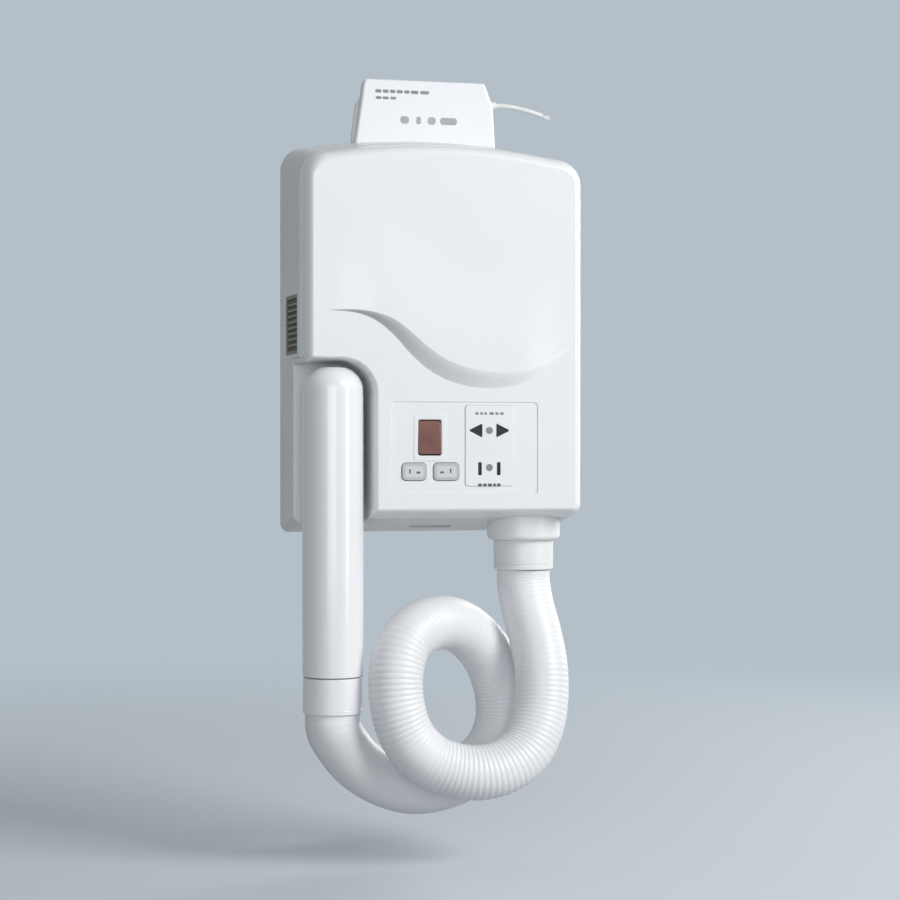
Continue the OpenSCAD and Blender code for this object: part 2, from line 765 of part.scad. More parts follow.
module motor_shaft() {
    color("silver") rod_y(fan_x, fan_z, shaft_r, scroll_front_y + scroll_wall + 6, motor_back_y - 3.3);
}
module impeller() {
    disc_front_y = impeller_back_y - impeller_disc_t;
    blade_front_y = disc_front_y - blade_w;
    color("dimgray") difference() {
        union() {
            rod_y(fan_x, fan_z, impeller_r, disc_front_y, impeller_back_y);
            rod_y(fan_x, fan_z, hub_r, disc_front_y - 12, impeller_back_y);
            for (k = [0 : blades - 1]) translate([fan_x, 0, fan_z]) rotate([0, 360 * k / blades, 0])
                translate([impeller_r - 5.5, 0, 0]) rotate([0, 30, 0])
                    block(-3.8, 3.8, blade_front_y, disc_front_y + eps, -0.5, 0.5);
            difference() {
                rod_y(fan_x, fan_z, impeller_r, blade_front_y - 2, blade_front_y + eps);
                rod_y(fan_x, fan_z, impeller_r - 9, blade_front_y - 3, blade_front_y + 1);
            }
        }
        rod_y(fan_x, fan_z, shaft_r, disc_front_y - 13, impeller_back_y + 1);
    }
}

// ================= Heater =================
module heater_duct() {
    color("whitesmoke") difference() {
        union() {
            rod_z(hose_x, hose_y, duct_r + duct_wall, collar_top_z, duct_top_z);
            block(outlet_left_x - scroll_wall, outlet_right_x + scroll_wall, scroll_front_y,
                hose_y + duct_r + duct_wall, duct_top_z - duct_flange_t, duct_top_z);
            rod_z(hose_x, hose_y, collar_flange_r - 1, collar_top_z, collar_top_z + 3);
        }
        rod_z(hose_x, hose_y, duct_r, collar_top_z - 1, duct_top_z + 1);
    }
}
module heater_frame() {
    reach = duct_r - 0.1;
    half_t = mica_t / 2;
    color("burlywood") difference() {
        union() {
            block(hose_x - reach, hose_x + reach, hose_y - half_t, hose_y + half_t,
                heater_low_z, heater_top_z);
            block(hose_x - half_t, hose_x + half_t, hose_y - reach, hose_y + reach,
                heater_low_z, heater_top_z);
        }
        heater_rings(heater_wire_r + 0.1);
    }
}
module heater_rings(r) {
    pitch = (heater_top_z - heater_low_z - 12) / (heater_turns - 1);
    for (k = [0 : heater_turns - 1])
        translate([hose_x, hose_y, heater_low_z + 6 + pitch * k])
            rotate_extrude() translate([heater_r, 0]) circle(r, $fn = 16);
}
module heater_coil() { color("slategray") heater_rings(heater_wire_r); }
module thermostat() {
    x = hose_x - duct_r - duct_wall;
    thermostat_z = -60;
    thermostat_r = 6;
    thermostat_t = 4.5;
    color("silver") rod_x(hose_y, thermostat_z, thermostat_r, x - thermostat_t, x);
}
module thermal_fuse() {
    fuse_r = 2;
    fuse_low_z = -80;
    fuse_top_z = -64;
    color("goldenrod")
        rod_z(hose_x, hose_y + duct_r + duct_wall + fuse_r + 0.05, fuse_r, fuse_low_z, fuse_top_z);
}

// ================= Board =================
module control_board() {
    color("darkgreen") difference() {
        block(board_left_x, board_right_x, board_front_y, board_front_y + board_t,
            board_low_z, board_top_z);
        for (x = post_x, z = post_z) rod_y(x, z, 1.4, board_front_y - 1, board_front_y + 3);
    }
}
module relay() {
    y = board_front_y + board_t;
    color("royalblue")
        block(board_left_x + 8, board_left_x + 27, y, y + 15, board_low_z + 8, board_low_z + 23);
}
module capacitor() {
    y = board_front_y + board_t;
    from_left = 34;
    from_below = 8;
    capacitor_w = 18;
    capacitor_h = 16;
    capacitor_d = 11;
    x0 = board_left_x + from_left;
    z0 = board_low_z + from_below;
    color("gold") block(x0, x0 + capacitor_w, y, y + capacitor_d, z0, z0 + capacitor_h);
}
module key_switches() {
    color("black") for (x = [key_left_x, key_right_x]) {
        block(x - 5, x + 5, key_stem_end_y + key_travel + 2.2, board_front_y, key_z - 5, key_z + 5);
        rod_y(x, key_z, 1.7, key_stem_end_y + key_travel + 0.2, board_front_y);
    }
}
module board_screws() {
    color("silver") for (x = post_x, z = post_z) {
        rod_y(x, z, 1.1, board_front_y - board_screw_l, board_front_y + board_t + eps);
        rod_y(x, z, 2.3, board_front_y + board_t, board_front_y + board_t + 1.6);
    }
}

// ================= Panel =================
module panel_plate() {
    color("whitesmoke") difference() {
        union() {
            translate([panel_x, 0, panel_z]) {
                plate_y(panel_y, panel_back_y) rounded_rect(panel_w, panel_h, panel_corner_r);
                plate_y(inner_front_y, panel_back_y)
                    rounded_rect(panel_w + 2 * panel_lip, panel_h + 2 * panel_lip, panel_corner_r);
            }
            for (x = post_x, z = post_z) rod_y(x, z, post_r, panel_back_y - eps, board_front_y);
        }
        for (x = post_x, z = post_z)
            rod_y(x, z, 1.1, board_front_y - board_screw_l - 2, board_front_y + 1);
        block(rocker_x - rocker_case_w / 2 - fit, rocker_x + rocker_case_w / 2 + fit, panel_y - 1,
            panel_back_y + 1, rocker_z - rocker_case_h / 2 - fit, rocker_z + rocker_case_h / 2 + fit);
        key_hole(key_left_x, key_left_w);
        key_hole(key_right_x, key_right_w);
        translate([socket_x, 0, socket_z]) plate_y(panel_y - 1, panel_back_y + 1)
            rounded_rect(socket_w + 2 * fit, socket_h + 2 * fit, socket_corner_r);
    }
}
module key_hole(x, w) {
    translate([x, 0, key_z]) plate_y(panel_y - 1, panel_back_y + 1)
        rounded_rect(w + 2 * key_gap, key_h + 2 * key_gap, key_corner_r);
}

rocker_side_gap = 0.3;
rocker_case_w = rocker_w + 2 * (rocker_wall + rocker_side_gap);
rocker_case_h = rocker_h + 2 * (rocker_wall + rocker_gap);
rocker_case_back_y = panel_y + rocker_case_depth;
module rocker_case() {
    half_case_w = rocker_case_w / 2;
    half_case_h = rocker_case_h / 2;
    half_w_in = rocker_w / 2 + rocker_side_gap;
    half_h_in = rocker_h / 2 + rocker_gap;
    rim_y = panel_y - 0.8;
    color("white") difference() {
        union() {
            block(rocker_x - half_case_w, rocker_x + half_case_w, rim_y, rocker_case_back_y,
                rocker_z - half_case_h, rocker_z + half_case_h);
            block(rocker_x - half_case_w - 1, rocker_x + half_case_w + 1, rim_y, panel_y,
                rocker_z - half_case_h - 1, rocker_z + half_case_h + 1);
        }
        block(rocker_x - half_w_in, rocker_x + half_w_in, rim_y - 1, rocker_case_back_y - rocker_wall,
            rocker_z - half_h_in, rocker_z + half_h_in);
        rod_x(rocker_pivot_y, rocker_z, rocker_pin_r + 0.06,
            rocker_x - half_case_w + 0.6, rocker_x + half_case_w - 0.6);
    }
}
// The rocker at rest is tilted so that its upper end is pressed in.
module rocker() {
    color([0.55, 0.42, 0.4]) translate([rocker_x, rocker_pivot_y, rocker_z]) {
        rotate([-rocker_rest, 0, 0]) rotate([90, 0, 90]) linear_extrude(rocker_w, center = true)
            polygon([[-3.6, rocker_h / 2], [3, rocker_h / 2 - 1], [4, 4], [4, -4],
                [3, 1 - rocker_h / 2], [-3.6, -rocker_h / 2], [-2.6, 0]]);
        rotate([0, 90, 0]) cylinder(r = rocker_pin_r, h = rocker_w + 2.6, center = true);
    }
}
module rocker_terminals() {
    color("gold") for (k = [-1, 0, 1])
        block(rocker_x - 3, rocker_x + 3, rocker_case_back_y, board_front_y,
            rocker_z + 8 * k - 0.4, rocker_z + 8 * k + 0.4);
}
module push_key(x, w) {
    translate([x, 0, key_z]) {
        plate_y(panel_y - key_proud, panel_back_y + key_lip_t) rounded_rect(w, key_h, key_corner_r);
        plate_y(panel_back_y + 0.1, panel_back_y + key_lip_t)
            rounded_rect(w + 2 * key_lip, key_h + 2 * key_lip, key_corner_r);
    }
    rod_y(x, key_z, key_stem_r, panel_back_y + key_lip_t - eps, key_stem_end_y);
}
module key_left() { color("silver") push_key(key_left_x, key_left_w); }
module key_right() { color("silver") push_key(key_right_x, key_right_w); }

// ================= Shaver socket =================
wedge_inner_x = pin_spacing / 2 - wedge_w / 2;
wedge_corner_r = 0.6;
leaf_half_gap = wedge_h / 2 - 2.1;
blade_x = [socket_x - blade_spacing / 2, socket_x + blade_spacing / 2];
// The two wedge-shaped holes for round pins, which point away from each other; grow widens them.
module wedge_holes(grow, y0, y1) {
    for (side = [0, 1]) translate([socket_x, 0, pin_z]) mirror([side, 0, 0]) plate_y(y0, y1)
        polygon([
            [wedge_inner_x - grow, -wedge_h / 2 - grow],
            [wedge_inner_x + wedge_corner_r + grow, -wedge_h / 2 - grow],
            [wedge_inner_x + wedge_w + grow, -wedge_corner_r - grow],
            [wedge_inner_x + wedge_w + grow, wedge_corner_r + grow],
            [wedge_inner_x + wedge_corner_r + grow, wedge_h / 2 + grow],
            [wedge_inner_x - grow, wedge_h / 2 + grow]
        ]);
}
// The two blade slots, widened by grow on every side.
module blade_slots(grow, y0, y1) {
    half_h = blade_slot_h / 2 + min(grow, fit);
    for (x = blade_x)
        block(x - blade_slot_w / 2 - grow, x + blade_slot_w / 2 + grow, y0, y1,
            blade_z - half_h, blade_z + half_h);
}
module socket_plate() {
    color("white") difference() {
        translate([socket_x, 0, socket_z]) plate_y(panel_y - socket_proud, panel_back_y)
            rounded_rect(socket_w, socket_h, socket_corner_r);
        wedge_holes(0, panel_y - 2, panel_back_y + 1);
        blade_slots(0, panel_y - 2, panel_back_y + 1);
    }
}
module socket_body() {
    color("dimgray") difference() {
        translate([socket_x, 0, socket_z]) plate_y(panel_back_y, socket_body_back_y)
            rounded_rect(socket_w, socket_h, socket_corner_r);
        wedge_holes(fit, panel_back_y - 1, contact_end_y);
        blade_slots(contact_t + fit, panel_back_y - 1, contact_end_y);
    }
}
module socket_contacts() {
    y0 = panel_back_y + 1;
    leaf_x = (blade_slot_w + contact_t) / 2 + 0.05;
    color("gold") {
        for (side = [-1, 1], up = [-1, 1]) {
            x = socket_x + side * (wedge_inner_x + 1.6);
            z = pin_z + up * (leaf_half_gap + contact_t / 2);
            block(x - 1.4, x + 1.4, y0, contact_end_y, z - contact_t / 2, z + contact_t / 2);
        }
        for (x = blade_x, side = [-1, 1])
            block(x + side * leaf_x - contact_t / 2, x + side * leaf_x + contact_t / 2,
                y0, contact_end_y, blade_z - blade_slot_h / 2, blade_z + blade_slot_h / 2);
    }
}

// ================= Shaver transformer =================
core_x = -54;
core_z = 60;
core_half_w = 25;
core_half_h = 21;
core_front_y = -30;
core_back_y = -14;
limb = 8;
window_w = core_half_w - 1.5 * limb;
window_half_h = core_half_h - limb;
coil_gap = 0.2;
module transformer_core() {
    color("slategray") difference() {
        union() {
            block(core_x - core_half_w, core_x + core_half_w, core_front_y, core_back_y,
                core_z - core_half_h, core_z + core_half_h);
            for (side = [-1, 1]) {
                foot_x = core_x + side * (core_half_w - limb / 2);
                block(foot_x - limb / 2, foot_x + limb / 2, core_back_y - eps, inner_back_y,
                    core_z - core_half_h, core_z + core_half_h);
            }
        }
        for (side = [-1, 1]) {
            window_x = core_x + side * (limb + window_w) / 2;
            block(window_x - window_w / 2, window_x + window_w / 2, core_front_y - 1, core_back_y + 1,
                core_z - window_half_h, core_z + window_half_h);
        }
    }
}
module transformer_coil() {
    half_coil_w = core_half_w - limb - coil_gap;
    half_coil_h = window_half_h - coil_gap;
    half_limb = limb / 2 + coil_gap;
    color("firebrick") difference() {
        block(core_x - half_coil_w, core_x + half_coil_w, core_front_y - limb, core_back_y + limb - 1,
            core_z - half_coil_h, core_z + half_coil_h);
        block(core_x - half_limb, core_x + half_limb, core_front_y - coil_gap,
            core_back_y + coil_gap, core_z - core_half_h, core_z + core_half_h);
    }
}

// ================= Collar, cuff and hose =================
module hose_collar() {
    color("white") translate([hose_x, hose_y, 0]) rotate_extrude() polygon([
        [collar_bore_r, collar_low_z], [collar_r - 3, collar_low_z], [collar_r - 1, collar_low_z + 1],
        [collar_r, collar_low_z + 3], [collar_r, collar_top_z - collar_flange_t],
        [collar_flange_r, collar_top_z - collar_flange_t], [collar_flange_r, collar_top_z],
        [collar_bore_r - 2, collar_top_z], [collar_bore_r - 2, collar_top_z - 2],
        [collar_bore_r, collar_top_z - 2]
    ]);
}
module hose_cuff() {
    color("white") translate([hose_x, hose_y, 0]) rotate_extrude() polygon([
        [hose_r - 3, cuff_low_z], [cuff_r - 0.8, cuff_low_z], [cuff_r, cuff_low_z + 0.8],
        [cuff_r, collar_top_z - 2], [hose_r - 3, collar_top_z - 2]
    ]);
}
module hose() { color("whitesmoke") tube_along(hose_route, 2, hose_r, 12); }

// ================= Wand =================
magnet_z = wand_top_z - 34;
module wand_tube() {
    inner_r = wand_r - wand_wall;
    color("white") difference() {
        union() {
            translate([wand_x, wand_y, 0]) rotate_extrude() difference() {
                union() {
                    translate([0, wand_seam_z]) square([wand_r, wand_top_z - shoulder_r - wand_seam_z]);
                    translate([0, wand_top_z - shoulder_r - eps]) square([outlet_r, shoulder_r + eps]);
                    intersection() {
                        translate([outlet_r, wand_top_z - shoulder_r]) circle(shoulder_r);
                        translate([0, wand_top_z - shoulder_r - eps]) square([wand_r, shoulder_r + 1]);
                    }
                }
                translate([-1, wand_seam_z - 1])
                    square([inner_r + 1, wand_top_z - shoulder_r - wand_seam_z + 1]);
                translate([-1, wand_seam_z - 1]) square([outlet_r + 1, 2 - wand_seam_z]);
            }
            rod_y(wand_x, peg_z, peg_r + 2.5, peg_tip_y - 2.5, wand_y + wand_r - wand_wall / 2 - 0.6);
        }
        rod_y(wand_x, peg_z, peg_r + 0.35, peg_tip_y - 0.5, wand_y + wand_r + 1);
    }
}
// A disc with two rings of round holes and one in the middle.
module wand_grille() {
    rim_r = outlet_r - 0.02;
    color("silver") translate([wand_x, wand_y, wand_top_z - 5]) difference() {
        cylinder(r = rim_r, h = 2.5);
        for (k = [0 : 11]) rotate([0, 0, 30 * k]) translate([rim_r - 3.4, 0, -1])
            cylinder(r = 1.9, h = 5);
        for (k = [0 : 5]) rotate([0, 0, 60 * k]) translate([rim_r - 7.7, 0, -1])
            cylinder(r = 1.8, h = 5);
        translate([0, 0, -1]) cylinder(r = 1.6, h = 5);
    }
}
module wand_magnet() {
    y1 = wand_y + wand_r - wand_wall - 0.4;
    magnet_half_w = 3.5;
    magnet_half_h = 6;
    magnet_t = 4;
    color("dimgray") block(wand_x - magnet_half_w, wand_x + magnet_half_w, y1 - magnet_t, y1,
        magnet_z - magnet_half_h, magnet_z + magnet_half_h);
}
module wand_sleeve() {
    color("white") translate([wand_x, wand_y, 0]) rotate_extrude() difference() {
        polygon([[hose_r - 3, wand_end_z], [wand_r - 1, wand_end_z], [wand_r, wand_end_z + 1],
            [wand_r, wand_seam_z - 0.4], [wand_r - 0.5, wand_seam_z - 0.4],
            [wand_r - 0.5, wand_seam_z], [hose_r - 3, wand_seam_z]]);
        translate([0, wand_end_z + 3]) square([wand_r - wand_wall, wand_seam_z - wand_end_z]);
    }
}

wall_bracket();
terminal_cover();
terminal_block();
terminal_screws();
lead_bush();
supply_lead();
lead_cores();
rear_shell();
front_cover();
cover_screws();
cradle_liner();
cradle_peg();
reed_switch();
inlet_grille();
filter_mesh();
release_latch();
latch_spring();
fan_housing();
fan_motor();
motor_shaft();
impeller();
heater_duct();
heater_frame();
heater_coil();
thermostat();
thermal_fuse();
control_board();
relay();
capacitor();
key_switches();
board_screws();
panel_plate();
rocker_case();
rocker();
rocker_terminals();
key_left();
key_right();
socket_plate();
socket_body();
socket_contacts();
transformer_core();
transformer_coil();
hose_collar();
hose_cuff();
hose();
wand_tube();
wand_grille();
wand_magnet();
wand_sleeve();
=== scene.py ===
import json
import logging
import math
from dataclasses import dataclass, field
from enum import Enum
from typing import Iterable, Sequence

import bmesh
import bpy
import numpy as np
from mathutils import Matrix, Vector, geometry


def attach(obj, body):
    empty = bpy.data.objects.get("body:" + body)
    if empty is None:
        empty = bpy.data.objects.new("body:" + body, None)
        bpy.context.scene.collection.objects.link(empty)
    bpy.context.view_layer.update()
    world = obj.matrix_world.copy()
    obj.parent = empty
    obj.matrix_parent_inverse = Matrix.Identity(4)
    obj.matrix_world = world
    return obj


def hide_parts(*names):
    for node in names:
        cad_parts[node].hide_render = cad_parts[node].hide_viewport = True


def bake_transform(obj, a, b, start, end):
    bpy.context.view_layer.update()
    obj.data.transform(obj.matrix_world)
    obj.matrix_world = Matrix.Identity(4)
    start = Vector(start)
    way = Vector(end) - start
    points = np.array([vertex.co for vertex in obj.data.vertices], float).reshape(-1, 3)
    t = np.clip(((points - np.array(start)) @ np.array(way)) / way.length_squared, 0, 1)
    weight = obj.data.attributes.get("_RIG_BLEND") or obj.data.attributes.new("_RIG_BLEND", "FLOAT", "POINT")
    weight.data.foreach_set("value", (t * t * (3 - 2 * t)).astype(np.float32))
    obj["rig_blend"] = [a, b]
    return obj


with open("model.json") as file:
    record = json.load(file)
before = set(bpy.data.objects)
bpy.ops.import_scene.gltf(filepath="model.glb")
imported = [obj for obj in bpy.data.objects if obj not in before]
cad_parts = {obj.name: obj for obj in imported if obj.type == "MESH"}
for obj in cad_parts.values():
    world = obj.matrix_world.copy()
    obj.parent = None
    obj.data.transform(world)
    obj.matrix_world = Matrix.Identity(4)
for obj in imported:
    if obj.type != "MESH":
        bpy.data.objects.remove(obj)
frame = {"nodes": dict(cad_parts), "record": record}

LOG = logging.getLogger("hair_dryer")
MM = 0.001
# Points of a patchwork merge where they agree to 1/500 mm and their normals to 1/50.
POINT_STEPS = 500
NORMAL_STEPS = 50
FORWARD = np.array([0.0, -1.0, 0.0])
BACKWARD = np.array([0.0, 1.0, 0.0])
# Times a point, this gives the direction from the depth axis to it.
FROM_AXIS = np.array([1.0, 0.0, 1.0])


# ---- Small helpers for shapes ----


def grid_faces(rows: int, cols: int, closed: bool = False) -> np.ndarray:
    """Quads of a rows by cols grid of points, numbered row by row.

    Args:
        rows: points in the first direction.
        cols: points in the second direction.
        closed: True where the last row joins the first.

    Returns:
        An array of quads.
    """
    i = np.arange(rows if closed else rows - 1)[:, None]
    j = np.arange(cols - 1)[None, :]
    a = i * cols + j
    b = ((i + 1) % rows) * cols + j
    return np.stack([a, b, b + 1, a + 1], -1).reshape(-1, 4)


def unit(v: np.ndarray) -> np.ndarray:
    """Vectors scaled to length one along the last axis."""
    return v / np.maximum(np.linalg.norm(v, axis=-1, keepdims=True), 1e-12)


def dot(a: np.ndarray, b: np.ndarray) -> np.ndarray:
    """Dot products along the last axis."""
    return np.einsum("...i,...i->...", a, b)


def turned_to(v: np.ndarray, outward: np.ndarray) -> np.ndarray:
    """Vectors, turned round where they point against the outward direction."""
    return np.where((dot(v, outward) < 0)[..., None], -v, v)


def square_to(v: np.ndarray, normals: np.ndarray) -> np.ndarray:
    """Vectors without their part along the normals, at length one."""
    return unit(v - dot(v, normals)[..., None] * normals)


def smooth_step(t: np.ndarray) -> np.ndarray:
    """3 t^2 - 2 t^3, which rises from 0 to 1 with level ends."""
    return t * t * (3 - 2 * t)


def at_depth(flat: np.ndarray, y: float) -> np.ndarray:
    """Flat points (x, z) as points in space at depth y."""
    return np.stack([flat[:, 0], np.full(len(flat), y), flat[:, 1]], -1)


@dataclass
class Patchwork:
    """A mesh made of patches, each with the normals that its formula gives, in millimetres."""

    points: list[np.ndarray] = field(default_factory=list)
    normals: list[np.ndarray] = field(default_factory=list)
    faces: list[list[int]] = field(default_factory=list)
    count: int = 0

    def add(self, points: np.ndarray, normals: np.ndarray, faces: np.ndarray) -> None:
        """Adds a patch, and turns its faces to the side that its normals point to.

        Args:
            points: n by 3 points.
            normals: n by 3 unit normals.
            faces: triangles or quads, as indices of these points.
        """
        points, normals = points.reshape(-1, 3), normals.reshape(-1, 3)
        p = points[faces]
        area = np.cross(p[:, 1] - p[:, 0], p[:, 2] - p[:, 0])
        if faces.shape[1] == 4:
            area = area + np.cross(p[:, 2] - p[:, 0], p[:, 3] - p[:, 0])
        keep = np.linalg.norm(area, axis=1) > 1e-9
        faces, area = faces[keep], area[keep]
        wrong = dot(area, normals[faces].mean(1)) < 0
        faces = np.where(wrong[:, None], faces[:, ::-1], faces)
        self.points.append(points)
        self.normals.append(normals)
        self.faces.extend((faces + self.count).tolist())
        self.count += len(points)

    def grid(self, points: np.ndarray, normals: np.ndarray, closed: bool = False) -> None:
        """Adds a grid of points, rows by columns, closed where its last row joins the first."""
        self.add(points, normals, grid_faces(points.shape[0], points.shape[1], closed))

    def skin_and_lining(
        self, points: np.ndarray, normals: np.ndarray, faces: np.ndarray, wall: float
    ) -> None:
        """Adds a surface and the same surface one wall thickness further in, facing inwards."""
        self.add(points, normals, faces)
        self.add(points.reshape(-1, 3) - wall * normals.reshape(-1, 3), -normals, faces)

    def build(self, name: str, lean: "Lean | None" = None) -> bpy.types.Object:
        """Makes the object: equal points with equal normals are merged, millimetres become metres.

        Args:
            name: the object's name.
            lean: a change of form that all its points take.

        Returns:
            The new object, at the origin.
        """
        points = np.concatenate(self.points)
        normals = unit(np.concatenate(self.normals))
        if lean is not None:
            points, normals = lean.apply(points, normals)
        key = np.concatenate([points * POINT_STEPS, normals * NORMAL_STEPS], 1)
        key = np.round(key).astype(np.int64)
        _, first, index = np.unique(key, axis=0, return_index=True, return_inverse=True)
        index = index.reshape(-1)
        faces = []
        for face in self.faces:
            ring = [int(index[k]) for k in face]
            ring = [a for a, b in zip(ring, ring[-1:] + ring[:-1]) if a != b]
            if len(set(ring)) > 2 and len(set(ring)) == len(ring):
                faces.append(ring)
        mesh = bpy.data.meshes.new(name)
        mesh.from_pydata((points[first] * MM).tolist(), [], faces)
        mesh.update()
        mesh.shade_smooth()
        mesh.normals_split_custom_set_from_vertices(normals[first].tolist())
        return place(name, mesh)


def place(name: str, mesh: bpy.types.Mesh) -> bpy.types.Object:
    """Puts a mesh into the scene as an object at the origin."""
    obj = bpy.data.objects.new(name, mesh)
    bpy.context.scene.collection.objects.link(obj)
    return obj


@dataclass(frozen=True)
class Lean:
    """Sets the right side of a form further out towards the front.

    A point moves sideways by reach * step(x) * (back - y) / depth, where step rises smoothly from
    0 to 1 between two across positions.
    """

    reach: float = 3.3
    start_x: float = 76.0
    end_x: float = 90.0
    back_y: float = -3.0
    depth: float = 82.0

    def apply(self, points: np.ndarray, normals: np.ndarray) -> tuple[np.ndarray, np.ndarray]:
        """Moves points, and turns their normals with the surface.

        Args:
            points: n by 3.
            normals: n by 3.

        Returns:
            The new points and normals.
        """
        t = np.clip((points[:, 0] - self.start_x) / (self.end_x - self.start_x), 0, 1)
        step, slope = smooth_step(t), 6 * t * (1 - t) / (self.end_x - self.start_x)
        way = (self.back_y - points[:, 1]) / self.depth
        moved = points.copy()
        moved[:, 0] += self.reach * step * way
        across = normals[:, 0] / (1 + self.reach * slope * way)
        turned_y = normals[:, 1] + self.reach * step / self.depth * across
        return moved, unit(np.stack([across, turned_y, normals[:, 2]], -1))


@dataclass(frozen=True)
class Outline:
    """A closed flat outline in millimetres: points, and unit normals that point away from it."""

    points: np.ndarray
    normals: np.ndarray

    @staticmethod
    def rounded(
        corners: Sequence[Sequence[float]], radii: Sequence[float], steps: int = 10
    ) -> "Outline":
        """A polygon with an arc of its own radius at each corner.

        Each arc's middle lies on the corner's bisector, at radius / sin(half the corner's angle),
        and its points turn evenly from one side's normal to the next side's.

        Args:
            corners: the corners, anticlockwise.
            radii: one radius for each corner.
            steps: pieces in each arc.

        Returns:
            The outline.
        """
        c = np.array(corners, float)
        r = np.array(radii, float)
        before, after = unit(c - np.roll(c, 1, 0)), unit(np.roll(c, -1, 0) - c)
        n0 = np.stack([before[:, 1], -before[:, 0]], -1)
        n1 = np.stack([after[:, 1], -after[:, 0]], -1)
        middle = c - (n0 + n1) * (r / (1 + dot(n0, n1)))[:, None]
        a0 = np.arctan2(n0[:, 1], n0[:, 0])
        turn = np.arctan2(n0[:, 0] * n1[:, 1] - n0[:, 1] * n1[:, 0], dot(n0, n1))
        a = a0[:, None] + turn[:, None] * np.linspace(0, 1, steps + 1)[None, :]
        normals = np.stack([np.cos(a), np.sin(a)], -1)
        points = middle[:, None, :] + r[:, None, None] * normals
        return Outline(points.reshape(-1, 2), normals.reshape(-1, 2))

    @staticmethod
    def rectangle(x: float, z: float, w: float, h: float, r: float, steps: int = 8) -> "Outline":
        """A rectangle w by h round (x, z) with corners of radius r."""
        a, b = w / 2, h / 2
        corners = [(x - a, z - b), (x + a, z - b), (x + a, z + b), (x - a, z + b)]
        return Outline.rounded(corners, [r] * 4, steps)

    @staticmethod
    def circle(x: float, z: float, r: float, steps: int = 64) -> "Outline":
        """A circle: middle plus r times (cos a, sin a)."""
        a = np.linspace(0, 2 * np.pi, steps, endpoint=False)
        normals = np.stack([np.cos(a), np.sin(a)], -1)
        return Outline(np.array([x, z]) + r * normals, normals)

    def dense(self, step: float) -> "Outline":
        """The same outline with points no further apart than step along its straight runs."""
        nxt = np.roll(self.points, -1, 0)
        count = np.maximum(1, np.ceil(np.linalg.norm(nxt - self.points, axis=1) / step)).astype(int)
        owner = np.repeat(np.arange(len(count)), count)
        way = (np.arange(count.sum()) - np.repeat(np.cumsum(count) - count, count)) / count[owner]
        way = way[:, None]
        points = self.points[owner] * (1 - way) + nxt[owner] * way
        normals = self.normals[owner] * (1 - way) + np.roll(self.normals, -1, 0)[owner] * way
        return Outline(points, unit(normals))

    def inset(self, d: float) -> np.ndarray:
        """The outline's points moved inwards by d."""
        return self.points - d * self.normals


class Axis(Enum):
    """The direction that a prism's outline looks along, as (across, up, out)."""

    FRONT = ((1, 0, 0), (0, 0, 1), (0, -1, 0))
    BELOW = ((1, 0, 0), (0, 1, 0), (0, 0, -1))
    LEFT = ((0, 1, 0), (0, 0, 1), (-1, 0, 0))

    def lay(self, flat: np.ndarray, out: np.ndarray | float) -> np.ndarray:
        """Turns flat coordinates and a distance outwards into points in space.

        Args:
            flat: two numbers a point, across and up.
            out: how far each point stands out.

        Returns:
            Three numbers a point.
        """
        across, up, normal = (np.array(v, float) for v in self.value)
        out = np.broadcast_to(np.asarray(out, float), flat.shape[:-1])
        return flat[..., :1] * across + flat[..., 1:] * up + out[..., None] * normal


def fillet(r: float, depth: float, steps: int = 5) -> np.ndarray:
    """Profile of a rounded edge and the side below it.

    The points run from the face, r inwards of the edge, over a quarter circle of radius r to the
    side, and down to the given depth. Each row is inset, height below the face, and the two parts
    of its normal: sideways and outwards.
    """
    a = np.linspace(0, np.pi / 2, steps + 1)
    arc = np.stack([r * (1 - np.sin(a)), r * (1 - np.cos(a)), np.sin(a), np.cos(a)], -1)
    return np.concatenate([arc, [[0, max(depth, r + 0.01), 1, 0]]])


def sweep_outline(
    work: Patchwork, outline: Outline, profile: np.ndarray, axis: Axis, out: float,
    hole: bool = False,
) -> None:
    """Carries a profile round an outline.

    A point is outline - inset * normal across, and out - height outwards. Round a hole the profile
    is mirrored, so it grows away from the opening.

    Args:
        work: the mesh that it goes into.
        outline: the outline of the edge.
        profile: rows of inset, height below the face, and the normal's two parts.
        axis: the side that the face looks to.
        out: how far the face stands out from the origin.
        hole: True round an opening.
    """
    sign = -1.0 if hole else 1.0
    flat = outline.points[:, None, :] - sign * profile[None, :, :1] * outline.normals[:, None, :]
    points = axis.lay(flat, out - np.broadcast_to(profile[None, :, 1], flat.shape[:2]))
    flat_n = sign * profile[None, :, 2:3] * outline.normals[:, None, :]
    normals = axis.lay(flat_n, np.broadcast_to(profile[None, :, 3], flat_n.shape[:2]))
    work.grid(points, normals, True)


